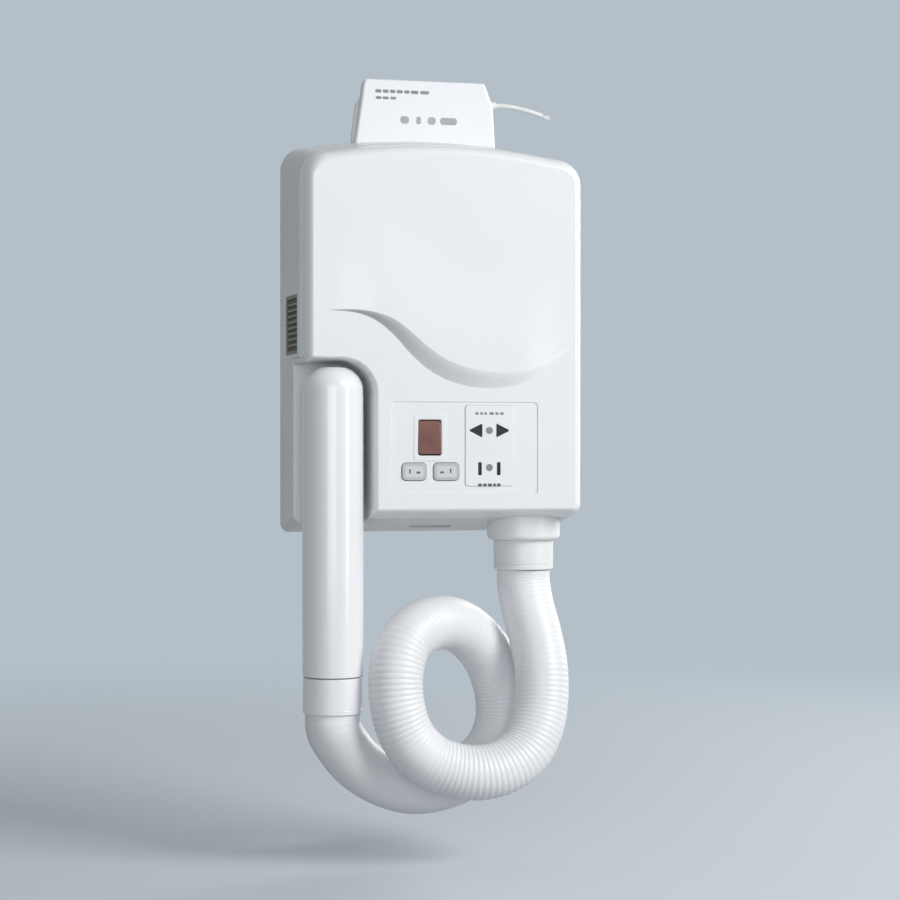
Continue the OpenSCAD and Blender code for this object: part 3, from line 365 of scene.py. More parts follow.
def flat_region(
    border: np.ndarray, holes: Iterable[np.ndarray] = (), inner: np.ndarray | None = None
) -> tuple[np.ndarray, np.ndarray]:
    """Triangles that fill a flat outline and leave its holes open.

    The loops are triangulated with their edges kept (constrained Delaunay), and a triangle stays
    where a line from its middle to the right crosses the loops an odd number of times.

    Args:
        border: the outer loop, n by 2.
        holes: loops inside it.
        inner: further points between the loops.

    Returns:
        The points, n by 2, and the triangles.
    """
    loops = [np.asarray(border, float)] + [np.asarray(h, float) for h in holes]
    starts = np.cumsum([0] + [len(loop) for loop in loops])
    here = np.concatenate([s + np.arange(len(loop)) for s, loop in zip(starts, loops)])
    there = np.concatenate(
        [s + (np.arange(len(loop)) + 1) % len(loop) for s, loop in zip(starts, loops)]
    )
    points = np.concatenate(loops)
    every = points if inner is None else np.concatenate([points, inner])
    found = geometry.delaunay_2d_cdt(
        [Vector(p) for p in every], np.stack([here, there], -1).tolist(), [], 1, 1e-7, False
    )
    flat, faces = np.array([tuple(v) for v in found[0]]), np.array(found[2], int)
    middle = flat[faces].mean(1)
    a, b = points[here], points[there]
    spans = (a[None, :, 1] > middle[:, 1:]) != (b[None, :, 1] > middle[:, 1:])
    rise = np.where(a[:, 1] == b[:, 1], 1.0, b[:, 1] - a[:, 1])
    cross = a[:, 0] + (middle[:, 1:] - a[:, 1]) * (b[:, 0] - a[:, 0]) / rise
    inside = (spans & (cross > middle[:, :1])).sum(1) % 2 == 1
    return flat, faces[inside]


def add_flat(
    work: Patchwork, axis: Axis, out: float, border: np.ndarray, holes: Iterable[np.ndarray] = ()
) -> None:
    """Adds a flat face at a distance outwards, with its openings."""
    flat, faces = flat_region(border, holes)
    points = axis.lay(flat, out)
    work.add(points, np.broadcast_to(np.array(axis.value[2], float), points.shape), faces)


def add_back_face(
    work: Patchwork, y: float, border: np.ndarray, holes: Iterable[np.ndarray] = ()
) -> None:
    """Adds a flat face at depth y that looks to the wall, with its openings."""
    flat, faces = flat_region(border, holes)
    work.add(at_depth(flat, y), np.tile(BACKWARD, (len(flat), 1)), faces)


def add_walls(
    work: Patchwork, line: np.ndarray, normals: np.ndarray, depths: Sequence[float]
) -> None:
    """Adds the walls of a straight hole or peg between two depths.

    Args:
        work: the mesh that it goes into.
        line: the closed outline, n by 2.
        normals: the walls' normals, n by 2.
        depths: the two depths.
    """
    rows, n = [at_depth(line, y) for y in depths], at_depth(normals, 0.0)
    work.grid(np.stack(rows, 1), np.stack([n, n], 1), True)


def add_plate(
    work: Patchwork, outline: Outline, edge: tuple[float, float, int], out: float,
    holes: Sequence[Outline] = (), rim: tuple[float, float, int] = (0.0, 0.0, 1),
) -> None:
    """Adds a plate that looks to the front: a flat face, its rounded edge, sides and openings.

    Args:
        work: the mesh that it goes into.
        outline: the plate's outline.
        edge: radius of its rounded edge, length of its sides, and pieces in the edge's arc.
        out: how far the face stands out.
        holes: its openings.
        rim: the same three numbers for each opening's edge.
    """
    loops = [hole.inset(-rim[0]) for hole in holes]
    add_flat(work, Axis.FRONT, out, outline.inset(edge[0]), loops)
    sweep_outline(work, outline, fillet(*edge), Axis.FRONT, out)
    for hole in holes:
        sweep_outline(work, hole, fillet(*rim), Axis.FRONT, out, hole=True)


def revolve(work: Patchwork, profile: np.ndarray, x: float, y: float, sides: int = 96) -> None:
    """Turns a profile round the upright axis through (x, y).

    The profile's rows are radius, height, and the normal's radial and upward parts, so a point is
    (x + r cos a, y + r sin a, z).
    """
    a = np.linspace(0, 2 * np.pi, sides, endpoint=False)
    c, s = np.cos(a)[:, None], np.sin(a)[:, None]
    r, z, nr, nz = (profile[None, :, k] for k in range(4))
    points = np.stack([x + r * c, y + r * s, z + 0 * c], -1)
    normals = np.stack([nr * c, nr * s, nz + 0 * c], -1)
    work.grid(points, normals, True)


def turned(parts: Sequence[tuple]) -> np.ndarray:
    """Profile for revolve() from straight runs and arcs.

    Runs are ("runs", (r, z), (r, z), ...), straight from point to point, with the normal on the
    right-hand side. An arc is ("arc", middle r, middle z, radius, first angle, last angle), with
    the normal away from its middle. Angles are in degrees from outwards.
    """
    rows: list[np.ndarray] = []
    for kind, *part in parts:
        if kind == "runs":
            for start, end in zip(part, part[1:]):
                along = unit(np.array(end, float) - start)
                n = (along[1], -along[0])
                rows.append(np.array([[*start, *n], [*end, *n]]))
        else:
            cr, cz, r, a0, a1 = part
            a = np.radians(np.linspace(a0, a1, max(4, int(abs(a1 - a0) / 9)) + 1))
            c, s = np.cos(a), np.sin(a)
            rows.append(np.stack([cr + r * c, cz + r * s, c, s], -1))
    return np.concatenate(rows)


# ---- Materials ----


def srgb(code: str) -> tuple[float, float, float, float]:
    """Turns an sRGB hex colour such as "#EDEEEF" into linear red, green, blue and an alpha of 1."""
    raw = np.array([int(code[k : k + 2], 16) for k in (1, 3, 5)]) / 255.0
    linear = np.where(raw <= 0.04045, raw / 12.92, ((raw + 0.055) / 1.055) ** 2.4)
    return (*linear.tolist(), 1.0)


def node(
    tree: bpy.types.NodeTree, kind: str, settings: dict | None = None, **inputs: object
) -> bpy.types.Node:
    """Adds one node with its settings, its values and its links.

    Args:
        tree: the material's or world's node tree.
        kind: the node's type, such as "ShaderNodeBump".
        settings: attributes of the node.
        inputs: socket values by name, with _ for a space; an output socket is linked. A name that
            ends in a number after two underscores is that socket's index, such as in__6.

    Returns:
        The new node.
    """
    made = tree.nodes.new(kind)
    for key, value in (settings or {}).items():
        setattr(made, key, value)
    for key, value in inputs.items():
        index = int(key.split("__")[1]) if "__" in key else key.replace("_", " ")
        socket = made.inputs[index]
        if isinstance(value, bpy.types.NodeSocket):
            tree.links.new(value, socket)
        else:
            socket.default_value = value
    return made


# Size of the patches of dust, as a share of the clouds; and a wave texture's turns in each unit.
DUST_SIZE = 0.35
WAVE_TURNS = 0.31


def noise(
    tree: bpy.types.NodeTree, where: bpy.types.NodeSocket, size: float, detail: float,
    **inputs: float,
) -> bpy.types.NodeSocket:
    """Adds a noise texture whose spots are size millimetres wide, and gives its value."""
    made = node(tree, "ShaderNodeTexNoise", Vector=where, Scale=1 / (size * MM), Detail=detail,
                **inputs)
    return made.outputs["Fac"]


def blend_colours(
    tree: bpy.types.NodeTree, way: bpy.types.NodeSocket, first: object, last: object
) -> bpy.types.NodeSocket:
    """Adds a mix of two colours: the first where way is 0, the last where it is 1."""
    mix = node(tree, "ShaderNodeMix", {"data_type": "RGBA"}, in__0=way, in__6=first, in__7=last)
    return mix.outputs[2]


class Pattern(Enum):
    """What a finish draws besides its grain."""

    PLAIN = "plain"
    BRUSHED = "brushed"
    FOAM = "foam"
    LAMINATED = "laminated"
    BOARD = "board"
    WOUND = "wound"


@dataclass(frozen=True)
class Finish:
    """A material: its colour and the small colour, gloss and height changes of its surface.

    Lengths are in millimetres: cloud is the size of the slow colour changes, grain the size of the
    surface's texture and relief its height. Where fade is given, the colour runs to far between
    those two across positions.
    """

    name: str
    colour: str
    shade: str
    roughness: float = 0.3
    metallic: float = 0.0
    ior: float = 1.5
    cloud: float = 60.0
    grain: float = 0.8
    relief: float = 0.02
    coat: float = 0.0
    sheen: float = 0.0
    translucent: float = 0.0
    pattern: Pattern = Pattern.PLAIN
    smudge: float = 0.03
    fade: tuple[float, float] | None = None
    far: str = "#FFFFFF"

    def material(self) -> bpy.types.Material:
        """Builds the material's nodes, once.

        Returns:
            The material.
        """
        known = bpy.data.materials.get(self.name)
        if known is not None:
            return known
        made = bpy.data.materials.new(self.name)
        made.use_nodes = True
        tree = made.node_tree
        tree.nodes.clear()
        where = node(tree, "ShaderNodeTexCoord").outputs["Object"]
        colour, height = self.surface(tree, where)
        if self.fade is not None:
            along = node(tree, "ShaderNodeSeparateXYZ", Vector=where).outputs["X"]
            way = node(tree, "ShaderNodeMapRange", Value=along, From_Min=self.fade[0] * MM,
                       From_Max=self.fade[1] * MM).outputs["Result"]
            colour = blend_colours(tree, way, colour, srgb(self.far))
        gloss = node(tree, "ShaderNodeMapRange",
                     Value=noise(tree, where, self.cloud * DUST_SIZE, 2.0),
                     To_Min=max(0.02, self.roughness - self.smudge),
                     To_Max=min(1.0, self.roughness + self.smudge))
        bump = node(tree, "ShaderNodeBump", Height=height, Strength=1.0, Distance=self.relief * MM)
        shader = node(
            tree, "ShaderNodeBsdfPrincipled", Base_Color=colour, Roughness=gloss.outputs["Result"],
            Normal=bump.outputs["Normal"], Metallic=self.metallic, IOR=self.ior,
            Coat_Weight=self.coat, Coat_Roughness=0.15, Sheen_Weight=self.sheen,
            Transmission_Weight=self.translucent,
        )
        node(tree, "ShaderNodeOutputMaterial", Surface=shader.outputs["BSDF"])
        made.diffuse_color = srgb(self.colour)
        return made

    def surface(
        self, tree: bpy.types.NodeTree, where: bpy.types.NodeSocket
    ) -> tuple[bpy.types.NodeSocket, bpy.types.NodeSocket]:
        """Colour and height of the surface.

        Args:
            tree: the material's nodes.
            where: the place on the object.

        Returns:
            The colour's and the height's sockets.
        """
        clouds = noise(tree, where, self.cloud, 1.5)
        fine = noise(tree, where, self.grain, 4.0, Roughness=0.6)
        scale = 1 / (self.grain * MM)
        if self.pattern is Pattern.BRUSHED:
            stretched = node(tree, "ShaderNodeMapping", Vector=where, Scale=(1.0, 1.0, 0.04))
            fine = noise(tree, stretched.outputs["Vector"], self.grain, 6.0)
        elif self.pattern is Pattern.FOAM:
            cells = node(tree, "ShaderNodeTexVoronoi", Vector=where, Scale=scale)
            clouds = fine = cells.outputs["Distance"]
        elif self.pattern in (Pattern.LAMINATED, Pattern.WOUND):
            bands = {"bands_direction": "Y" if self.pattern is Pattern.LAMINATED else "Z"}
            waves = node(tree, "ShaderNodeTexWave", bands, Vector=where,
                         Scale=WAVE_TURNS * scale, Distortion=0.4)
            clouds = fine = waves.outputs["Fac"]
        elif self.pattern is Pattern.BOARD:
            tracks = node(tree, "ShaderNodeTexBrick", Vector=where, Scale=scale,
                          Color1=(1, 1, 1, 1), Color2=(0.6, 0.6, 0.6, 1), Mortar=(0, 0, 0, 1),
                          Mortar_Size=0.03)
            clouds = fine = tracks.outputs["Fac"]
        span = node(tree, "ShaderNodeMapRange", Value=clouds, From_Min=0.3, From_Max=0.7)
        colour = blend_colours(tree, span.outputs["Result"], srgb(self.colour), srgb(self.shade))
        return colour, fine


# White ABS, injection moulded and glossy: near-white with a cool cast; its reflections are soft
# because the mould was vapour-honed. Grain 1.2 mm, drawn coarser than the real one to show.
WHITE_ABS = Finish("White_ABS", "#EEEFF0", "#EDEEEF", 0.27, cloud=120, grain=1.2, relief=0.004,
                   coat=0.25, smudge=0.006)
# Band of the wave: the same ABS, painted grey as the shade of the band's downward slope; the painted shade
# thins out towards the right, where the light falls on it.
WAVE_BAND_SHADE = Finish("Wave_band_painted_shade", "#C0C2C5", "#BCBEC1", 0.42, grain=0.9, relief=0.006,
                   smudge=0.02, fade=(-30.0, 66.0), far="#F0F1F2")
# The same ABS on the rear moulding, a little warmer and less bright.
BACK_ABS = Finish("White_ABS_back", "#E6E5E3", "#E0DFDD", 0.33, grain=1.2, relief=0.006)
# ABS of the cradle: a fine matt texture, so it looks duller than the glossy front.
CRADLE_ABS = Finish("White_ABS_cradle", "#EFF0F0", "#EBECEC", 0.42, grain=0.7, relief=0.012)
# The same ABS on the cover over the terminals, cooler and whiter.
TONGUE_ABS = Finish("White_ABS_tongue", "#EDEFF2", "#ECEEF1", 0.3, cloud=120, grain=1.0,
                    relief=0.006)
# Polycarbonate wand: polished, warm white, with a clear sharp highlight.
WAND_PC = Finish("White_polycarbonate", "#EEEFF1", "#EBECEE", 0.2, ior=1.58, relief=0.004, coat=0.4)
# Soft PVC hose: slightly creamy and satin, handled, so it is a little greyer in places.
HOSE_PVC = Finish("White_soft_PVC", "#EBECEE", "#E3E4E6", 0.38, ior=1.53, cloud=45, grain=0.6,
                  relief=0.015, sheen=0.05)
# Collar and cuff: the same white, moulded and satin.
COLLAR_ABS = Finish("White_ABS_collar", "#E9EAEA", "#E3E4E4", 0.32, grain=1.0, relief=0.008)
# Panel and socket face: urea moulding, hard, white and glossy.
UREA = Finish("White_urea", "#F0F1F2", "#ECEDEE", 0.22, grain=1.0, relief=0.003, coat=0.2)
# Rocker: tinted translucent polycarbonate over a lamp that is off, brown-red and glossy.
ROCKER_PC = Finish("Tinted_polycarbonate", "#8A5A50", "#754A41", 0.16, ior=1.58, cloud=14,
                   grain=0.5, relief=0.006, coat=0.5, translucent=0.06)
# Push keys: grey ABS, fine matt texture.
KEY_ABS = Finish("Grey_ABS", "#C0C3C5", "#B8BBBD", 0.38, grain=0.5, relief=0.01)
# The keys' pads: the same ABS, lighter and a little smoother.
KEY_PAD = Finish("Pale_grey_ABS", "#D4D6D8", "#CED0D2", 0.34, grain=0.5, relief=0.008)
# Printed ink, silk-screened, thin and matt; the wand's thin seam has the same grey.
INK = Finish("Grey_ink", "#8B8F93", "#7F8387", 0.55, cloud=5, grain=0.2, relief=0.002)
DARK_INK = Finish("Dark_ink", "#5A5C60", "#505256", 0.55, cloud=5, grain=0.2, relief=0.002)
PALE_INK = Finish("Pale_ink", "#A9ACAF", "#A1A4A7", 0.55, cloud=5, grain=0.2, relief=0.002)
# Shutters behind the socket's holes: black polyamide, moulded, matt.
BLACK_PA = Finish("Black_polyamide", "#1C1C1D", "#151516", 0.6, cloud=10, grain=0.4, relief=0.01)
# Grille at the air inlet: olive-grey ABS, dusty, so rough.
GRILLE_ABS = Finish("Olive_grey_ABS", "#87867A", "#75746A", 0.5, cloud=12, grain=0.5, relief=0.02)
# Release latch: ABS with a fine matt texture, coloured dark grey as painted shade for the inside of its
# slot.
LATCH_SHADE = Finish("Latch_painted_shade", "#55575A", "#4A4C4F", 0.45, cloud=12, grain=0.5, relief=0.01)
# Gap round the rocker: a dark sheet behind it, painted shade for the dark that shows between mouldings.
SHADOW = Finish("Painted_gap_shade", "#4B4A49", "#3E3D3C", 0.7, cloud=8, grain=0.5, relief=0.01)


@dataclass(frozen=True)
class HousePalette:
    """Finishes of the solids that keep their own shape, by the record's material slot."""

    finishes: dict[str, Finish] = field(default_factory=dict)

    @staticmethod
    def standard() -> "HousePalette":
        """The finish of every slot.

        Returns:
            The palette.
        """
        steel = dict(metallic=1.0, grain=0.5, relief=0.01, pattern=Pattern.BRUSHED)
        return HousePalette(
            {
                "housing_white": BACK_ABS,
                "cover_white": WHITE_ABS,
                "liner_white": CRADLE_ABS,
                # Bracket: thick ABS plate, matt, seen only from behind and through the slots.
                "bracket_white": Finish("Bracket_ABS", "#EBEBEA", "#E5E5E3", 0.45, relief=0.02),
                "wand_white": WAND_PC,
                "hose_white": HOSE_PVC,
                "collar_white": COLLAR_ABS,
                "panel_white": UREA,
                "socket_white": UREA,
                "rocker_case_white": UREA,
                "rocker_tinted": ROCKER_PC,
                "key_gray": KEY_ABS,
                "grille_olive": GRILLE_ABS,
                # Filter: open-cell polyurethane foam, cells about 1.2 mm; its pale colour is painted light,
                # raised so that the foam deep in the shaded inlet reads lighter.
                "filter_gray": Finish("Filter_foam", "#A5A396", "#858377", 0.95, grain=1.2,
                                      relief=0.5, pattern=Pattern.FOAM),
                # Reed switch: small moulded body, green epoxy.
                "switch_green": Finish("Green_epoxy", "#2F5B3A", "#264C30", 0.35, grain=0.6),
                # Board: glass epoxy with solder mask; the tracks show as faint steps of 5 mm.
                "board_green": Finish("Solder_mask", "#1F5A35", "#2B6E43", 0.3, grain=5.0,
                                      relief=0.03, pattern=Pattern.BOARD, coat=0.3),
                "relay_blue": Finish("Relay_PBT", "#2C5FA8", "#27559A", 0.4, grain=0.5),
                "capacitor_yellow": Finish("Capacitor_epoxy", "#D9B23A", "#CFA52E", 0.3),
                "key_switch_black": Finish("Black_nylon", "#232324", "#2B2B2C", 0.45, grain=0.5),
                # Screws: zinc-plated steel, lightly turned.
                "screw_steel": Finish("Zinc_plated_steel", "#B9BCBE", "#A6AAAE", 0.32, **steel),
                "spring_steel": Finish("Spring_steel", "#9DA0A3", "#8B8E91", 0.28, **steel),
                "shaft_steel": Finish("Ground_steel", "#C2C4C6", "#B2B4B7", 0.2, **steel),
                "motor_steel": Finish("Galvanised_steel", "#B2B6B8", "#9EA3A6", 0.38, **steel),
                "thermostat_steel": Finish("Nickel_plated_steel", "#C6C3BC", "#B5B2AB", 0.25,
                                           **steel),
                # Thermal fuse: glazed ceramic body.
                "fuse_tan": Finish("Tan_ceramic", "#C8A66E", "#BD9A60", 0.35, grain=0.4),
                "terminal_brass": Finish("Nickelled_brass", "#C9B27A", "#B89F66", 0.3,
                                         metallic=1.0),
                "contact_brass": Finish("Drawn_brass", "#C8A25A", "#B8914A", 0.28, metallic=1.0,
                                        grain=0.4, pattern=Pattern.BRUSHED),
                # Tinned copper strands, drawn and twisted: silvery, slightly dull.
                "core_copper": Finish("Tinned_copper", "#DADBDC", "#C4C6C8", 0.42, metallic=1.0,
                                      grain=0.3, relief=0.05, pattern=Pattern.WOUND),
                "block_ivory": Finish("Ivory_polyamide", "#E6DFC8", "#DDD5BC", 0.4),
                "scroll_gray": Finish("Grey_polypropylene", "#C6C9CA", "#BDC0C1", 0.45),
                "impeller_gray": Finish("Dark_polyamide", "#56595C", "#4B4E51", 0.45),
                "duct_white": Finish("Heat_proof_PPS", "#DDD8CC", "#D2CDC1", 0.5),
                # Mica board: layered mineral sheet, brownish, with a pearly sheen.
                "mica_tan": Finish("Mica_board", "#B59A72", "#9F8560", 0.4, cloud=6, grain=0.7,
                                   relief=0.05, sheen=0.2),
                "heater_wire": Finish("Resistance_wire", "#7F7B78", "#6D6966", 0.4, metallic=1.0),
                "magnet_gray": Finish("Ferrite", "#4A4B4D", "#3F4042", 0.5, grain=0.3),
                # Transformer core: stacked electrical steel, sheets of 0.5 mm drawn 1.5 mm wide.
                "core_steel": Finish("Laminated_steel", "#7C8084", "#63676B", 0.42, metallic=1.0,
                                     grain=1.5, relief=0.15, pattern=Pattern.LAMINATED),
                # Coil: enamelled copper wire under varnish, turns drawn 1 mm apart.
                "coil_red": Finish("Enamelled_winding", "#9A3B2A", "#7E2D20", 0.3, grain=1.0,
                                   relief=0.2, coat=0.3, pattern=Pattern.WOUND),
                "grille_metal": Finish("Punched_steel", "#A9ACAE", "#96999C", 0.35, **steel),
                "lead_white": Finish("White_lead_PVC", "#E4E5E5", "#DADBDB", 0.42, grain=0.4,
                                     relief=0.02),
                "peg_gray": Finish("Grey_acetal", "#7B7E81", "#707376", 0.4),
            }
        )

    def dress_nodes(self, nodes: dict[str, bpy.types.Object], slots: dict[str, str]) -> int:
        """Gives each solid its slot's finish; the release latch gets a dark grey of painted shade instead.

        Args:
            nodes: the solids by name.
            slots: the slot of each solid.

        Returns:
            How many were dressed.
        """
        for name, obj in nodes.items():
            # The release latch is darkened: painted shade for its recessed slot.
            finish = LATCH_SHADE if name == "release_latch" else self.finishes[slots[name]]
            material = finish.material()
            for k in range(max(1, len(obj.material_slots))):
                if obj.material_slots:
                    obj.material_slots[k].material = material
                else:
                    obj.data.materials.append(material)
        return len(nodes)


def dress(obj: bpy.types.Object, finish: Finish) -> bpy.types.Object:
    """Gives a new piece its finish."""
    obj.data.materials.clear()
    obj.data.materials.append(finish.material())
    return obj


def fit(
    obj: bpy.types.Object, finish: Finish, body: str = "housing", solid: str = ""
) -> bpy.types.Object:
    """Dresses a new piece and lets it ride on its body.

    Args:
        obj: the piece.
        finish: its finish.
        body: the body that it moves with.
        solid: the solid whose place it takes, if any.

    Returns:
        The piece.
    """
    if solid:
        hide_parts(solid)
    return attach(dress(obj, finish), body)


def report(part: str, made: Iterable[bpy.types.Object]) -> None:
    """Logs the number of faces of each piece."""
    for obj in made:
        LOG.info("%s: %s, %d faces", part, obj.name, len(obj.data.polygons))


# ---- Light, floor and camera ----


@dataclass(frozen=True)
class Lamp:
    """A soft area lamp: where it is, what it looks at, its size in metres and its power."""

    name: str
    place: tuple[float, float, float]
    target: tuple[float, float, float]
    size: tuple[float, float]
    power: float
    colour: str = "#FFFFFF"

    def build(self) -> bpy.types.Object:
        """Makes the lamp."""
        data = bpy.data.lights.new(self.name, "AREA")
        data.shape = "RECTANGLE"
        data.size, data.size_y = self.size
        data.energy = self.power
        data.color = srgb(self.colour)[:3]
        lamp = bpy.data.objects.new(self.name, data)
        lamp.location = self.place
        aim = Vector(self.target) - Vector(self.place)
        lamp.rotation_euler = aim.to_track_quat("-Z", "Y").to_euler()
        lamp.visible_camera = False
        bpy.context.scene.collection.objects.link(lamp)
        return lamp


@dataclass
class Studio:
    """Camera, pale floor, pale background and soft lamps."""

    eye: tuple[float, float, float] = (-0.3112, -1.4495, -0.083)
    ahead: tuple[float, float, float] = (0.22495, 0.97437, 0.0)
    lens: float = 81.16
    floor_z: float = -0.372
    floor_colour: str = "#CBD3D9"
    bounce_colour: str = "#A2A8AD"
    room_colour: str = "#B4BFC8"
    fade: tuple[float, float] = (0.35, 1.5)
    ambient: float = 0.27

    def build_camera(self) -> bpy.types.Object:
        """Places the level camera, 13 degrees left of straight ahead."""
        data = bpy.data.cameras.new("camera")
        data.lens = self.lens
        data.sensor_width = 36.0
        data.clip_start, data.clip_end = 0.02, 60.0
        camera = bpy.data.objects.new("camera", data)
        camera.location = self.eye
        camera.rotation_euler = Vector(self.ahead).to_track_quat("-Z", "Y").to_euler()
        bpy.context.scene.collection.objects.link(camera)
        bpy.context.scene.camera = camera
        return camera

    def build_floor(self) -> bpy.types.Object:
        """Makes the flat floor below the hose.

        The floor is a square grid at one height. Near the object it is matt paint that takes the
        shadow; further out it fades to the room's colour, so that no horizon shows.
        """
        side = np.linspace(-9.0, 9.0, 13)
        x, y = np.meshgrid(side, side, indexing="ij")
        points = np.stack([x, y, np.full_like(x, self.floor_z)], -1).reshape(-1, 3)
        mesh = bpy.data.meshes.new("floor")
        mesh.from_pydata(points.tolist(), [], grid_faces(13, 13).tolist())
        mesh.update()
        floor = place("floor", mesh)
        paint = Finish("Pale_floor", self.floor_colour, self.floor_colour, 0.85, cloud=400,
                       grain=30, relief=0.01).material()
        tree = paint.node_tree
        out = next(n for n in tree.nodes if n.type == "OUTPUT_MATERIAL")
        matt = out.inputs["Surface"].links[0].from_socket
        dull = node(tree, "ShaderNodeBsdfDiffuse", Color=srgb(self.bounce_colour))
        seen = self.seen_rays(tree)
        near = node(tree, "ShaderNodeMixShader", in__0=seen, in__1=dull.outputs["BSDF"],
                    in__2=matt).outputs["Shader"]
        where = node(tree, "ShaderNodeTexCoord").outputs["Object"]
        reach = node(tree, "ShaderNodeVectorMath", {"operation": "LENGTH"}, in__0=where)
        fade = node(tree, "ShaderNodeMapRange", {"interpolation_type": "SMOOTHSTEP"},
                    Value=reach.outputs["Value"], From_Min=self.fade[0], From_Max=self.fade[1])
        far = node(tree, "ShaderNodeMath", {"operation": "MULTIPLY"},
                   in__0=fade.outputs["Result"], in__1=seen)
        plain = node(tree, "ShaderNodeEmission", Color=srgb(self.room_colour), Strength=1.0)
        mix = node(tree, "ShaderNodeMixShader", in__0=far.outputs["Value"], in__1=near,
                   in__2=plain.outputs["Emission"])
        tree.links.new(mix.outputs["Shader"], out.inputs["Surface"])
        floor.data.materials.append(paint)
        return floor

    @staticmethod
    def seen_rays(tree: bpy.types.NodeTree) -> bpy.types.NodeSocket:
        """Says 1 for camera, glossy and transmission rays, which see the plain background."""
        path = node(tree, "ShaderNodeLightPath").outputs
        first = node(tree, "ShaderNodeMath", {"operation": "MAXIMUM"},
                     in__0=path["Is Camera Ray"], in__1=path["Is Glossy Ray"])
        last = node(tree, "ShaderNodeMath", {"operation": "MAXIMUM"},
                    in__0=first.outputs["Value"], in__1=path["Is Transmission Ray"])
        return last.outputs["Value"]

    def build_room(self) -> None:
        """Gives the world a soft light, and a plain pale colour wherever it is seen."""
        world = bpy.data.worlds.new("room")
        world.use_nodes = True
        bpy.context.scene.world = world
        tree = world.node_tree
        tree.nodes.clear()
        soft = node(tree, "ShaderNodeBackground", Color=srgb("#F2F4F6"), Strength=self.ambient)
        seen = node(tree, "ShaderNodeBackground", Color=srgb(self.room_colour), Strength=1.0)
        mix = node(tree, "ShaderNodeMixShader", in__0=self.seen_rays(tree),
                   in__1=soft.outputs["Background"], in__2=seen.outputs["Background"])
        node(tree, "ShaderNodeOutputWorld", Surface=mix.outputs["Shader"])

    def build_lamps(self) -> list[bpy.types.Object]:
        """Makes the lamps: key and strip in front on the right, a fill, and one for the back."""
        lamps = [
            Lamp("key", (1.6, -1.6, 1.15), (0.0, -0.05, -0.05), (1.2, 1.2), 44.5, "#FFFEFC"),
            Lamp("strip", (1.65, -1.7, -0.1), (-0.05, -0.06, -0.15), (0.48, 1.5), 8.0, "#FFFEFC"),
            Lamp("fill", (-0.6, -2.4, 0.1), (0.0, -0.05, -0.08), (1.4, 1.4), 17.5, "#F7FAFF"),
            Lamp("back", (1.9, 1.5, 0.5), (0.0, 0.0, -0.05), (1.4, 1.2), 32.0),
        ]
        return [lamp.build() for lamp in lamps]

    def build(self) -> None:
        """Builds the whole studio."""
        scene = bpy.context.scene
        scene.view_settings.view_transform = "Standard"
        self.build_camera()
        self.build_floor()
        self.build_room()
        self.build_lamps()
        LOG.info("studio: camera, floor, room and lamps")


# ---- Hose and supply lead ----


def smooth_route(points: Sequence[Sequence[float]], steps: int) -> np.ndarray:
    """Catmull-Rom curve through the points, with so many steps in each span.

    With neighbours a, b, c, d a span runs from b to c as
    (2b + (c-a)t + (2a-5b+4c-d)t^2 + (3b-a-3c+d)t^3) / 2.

    Args:
        points: the points it goes through.
        steps: steps in each span.

    Returns:
        The curve's points.
    """
    p = np.array(points, float)
    index = np.arange(len(p) - 1)
    a, b, c = p[np.maximum(index - 1, 0)], p[index], p[index + 1]
    d = p[np.minimum(index + 2, len(p) - 1)]
    t = (np.arange(steps) / steps)[None, :, None]
    a, b, c, d = (v[:, None, :] for v in (a, b, c, d))
    curve = 0.5 * (2 * b + (c - a) * t + (2 * a - 5 * b + 4 * c - d) * t**2
                   + (3 * b - a - 3 * c + d) * t**3)
    return np.concatenate([curve.reshape(-1, 3), p[-1:]])


def run_length(points: np.ndarray) -> np.ndarray:
    """Length along a line at each of its points."""
    steps = np.linalg.norm(np.diff(points, axis=0), axis=1)
    return np.concatenate([[0.0], np.cumsum(steps)])


def even_route(points: np.ndarray, count: int) -> np.ndarray:
    """The same line with its points an even distance apart."""
    s = run_length(points)
    t = np.linspace(0, s[-1], count)
    return np.stack([np.interp(t, s, points[:, k]) for k in range(3)], -1)


@dataclass
class TubeFrame:
    """Frames square to a route: its direction, and two directions across it."""

    route: np.ndarray
    ahead: np.ndarray
    side: np.ndarray
    up: np.ndarray

    @staticmethod
    def along(route: np.ndarray) -> "TubeFrame":
        """Frames at every point: side is square to the direction and to the depth axis."""
        ahead = unit(np.gradient(route, axis=0))
        side = unit(np.cross(ahead, BACKWARD))
        return TubeFrame(route, ahead, side, np.cross(side, ahead))

    def tube(self, radius: np.ndarray, sides: int) -> np.ndarray:
        """Rings of points: route + radius * (cos a * side - sin a * up).

        Args:
            radius: one radius for each point and each side.
            sides: points in a ring.

        Returns:
            The rings' points.
        """
        a = np.linspace(0, 2 * np.pi, sides, endpoint=False)
        across = np.cos(a)[None, :, None] * self.side[:, None, :]
        across = across - np.sin(a)[None, :, None] * self.up[:, None, :]
        return self.route[:, None, :] + radius[:, :, None] * across


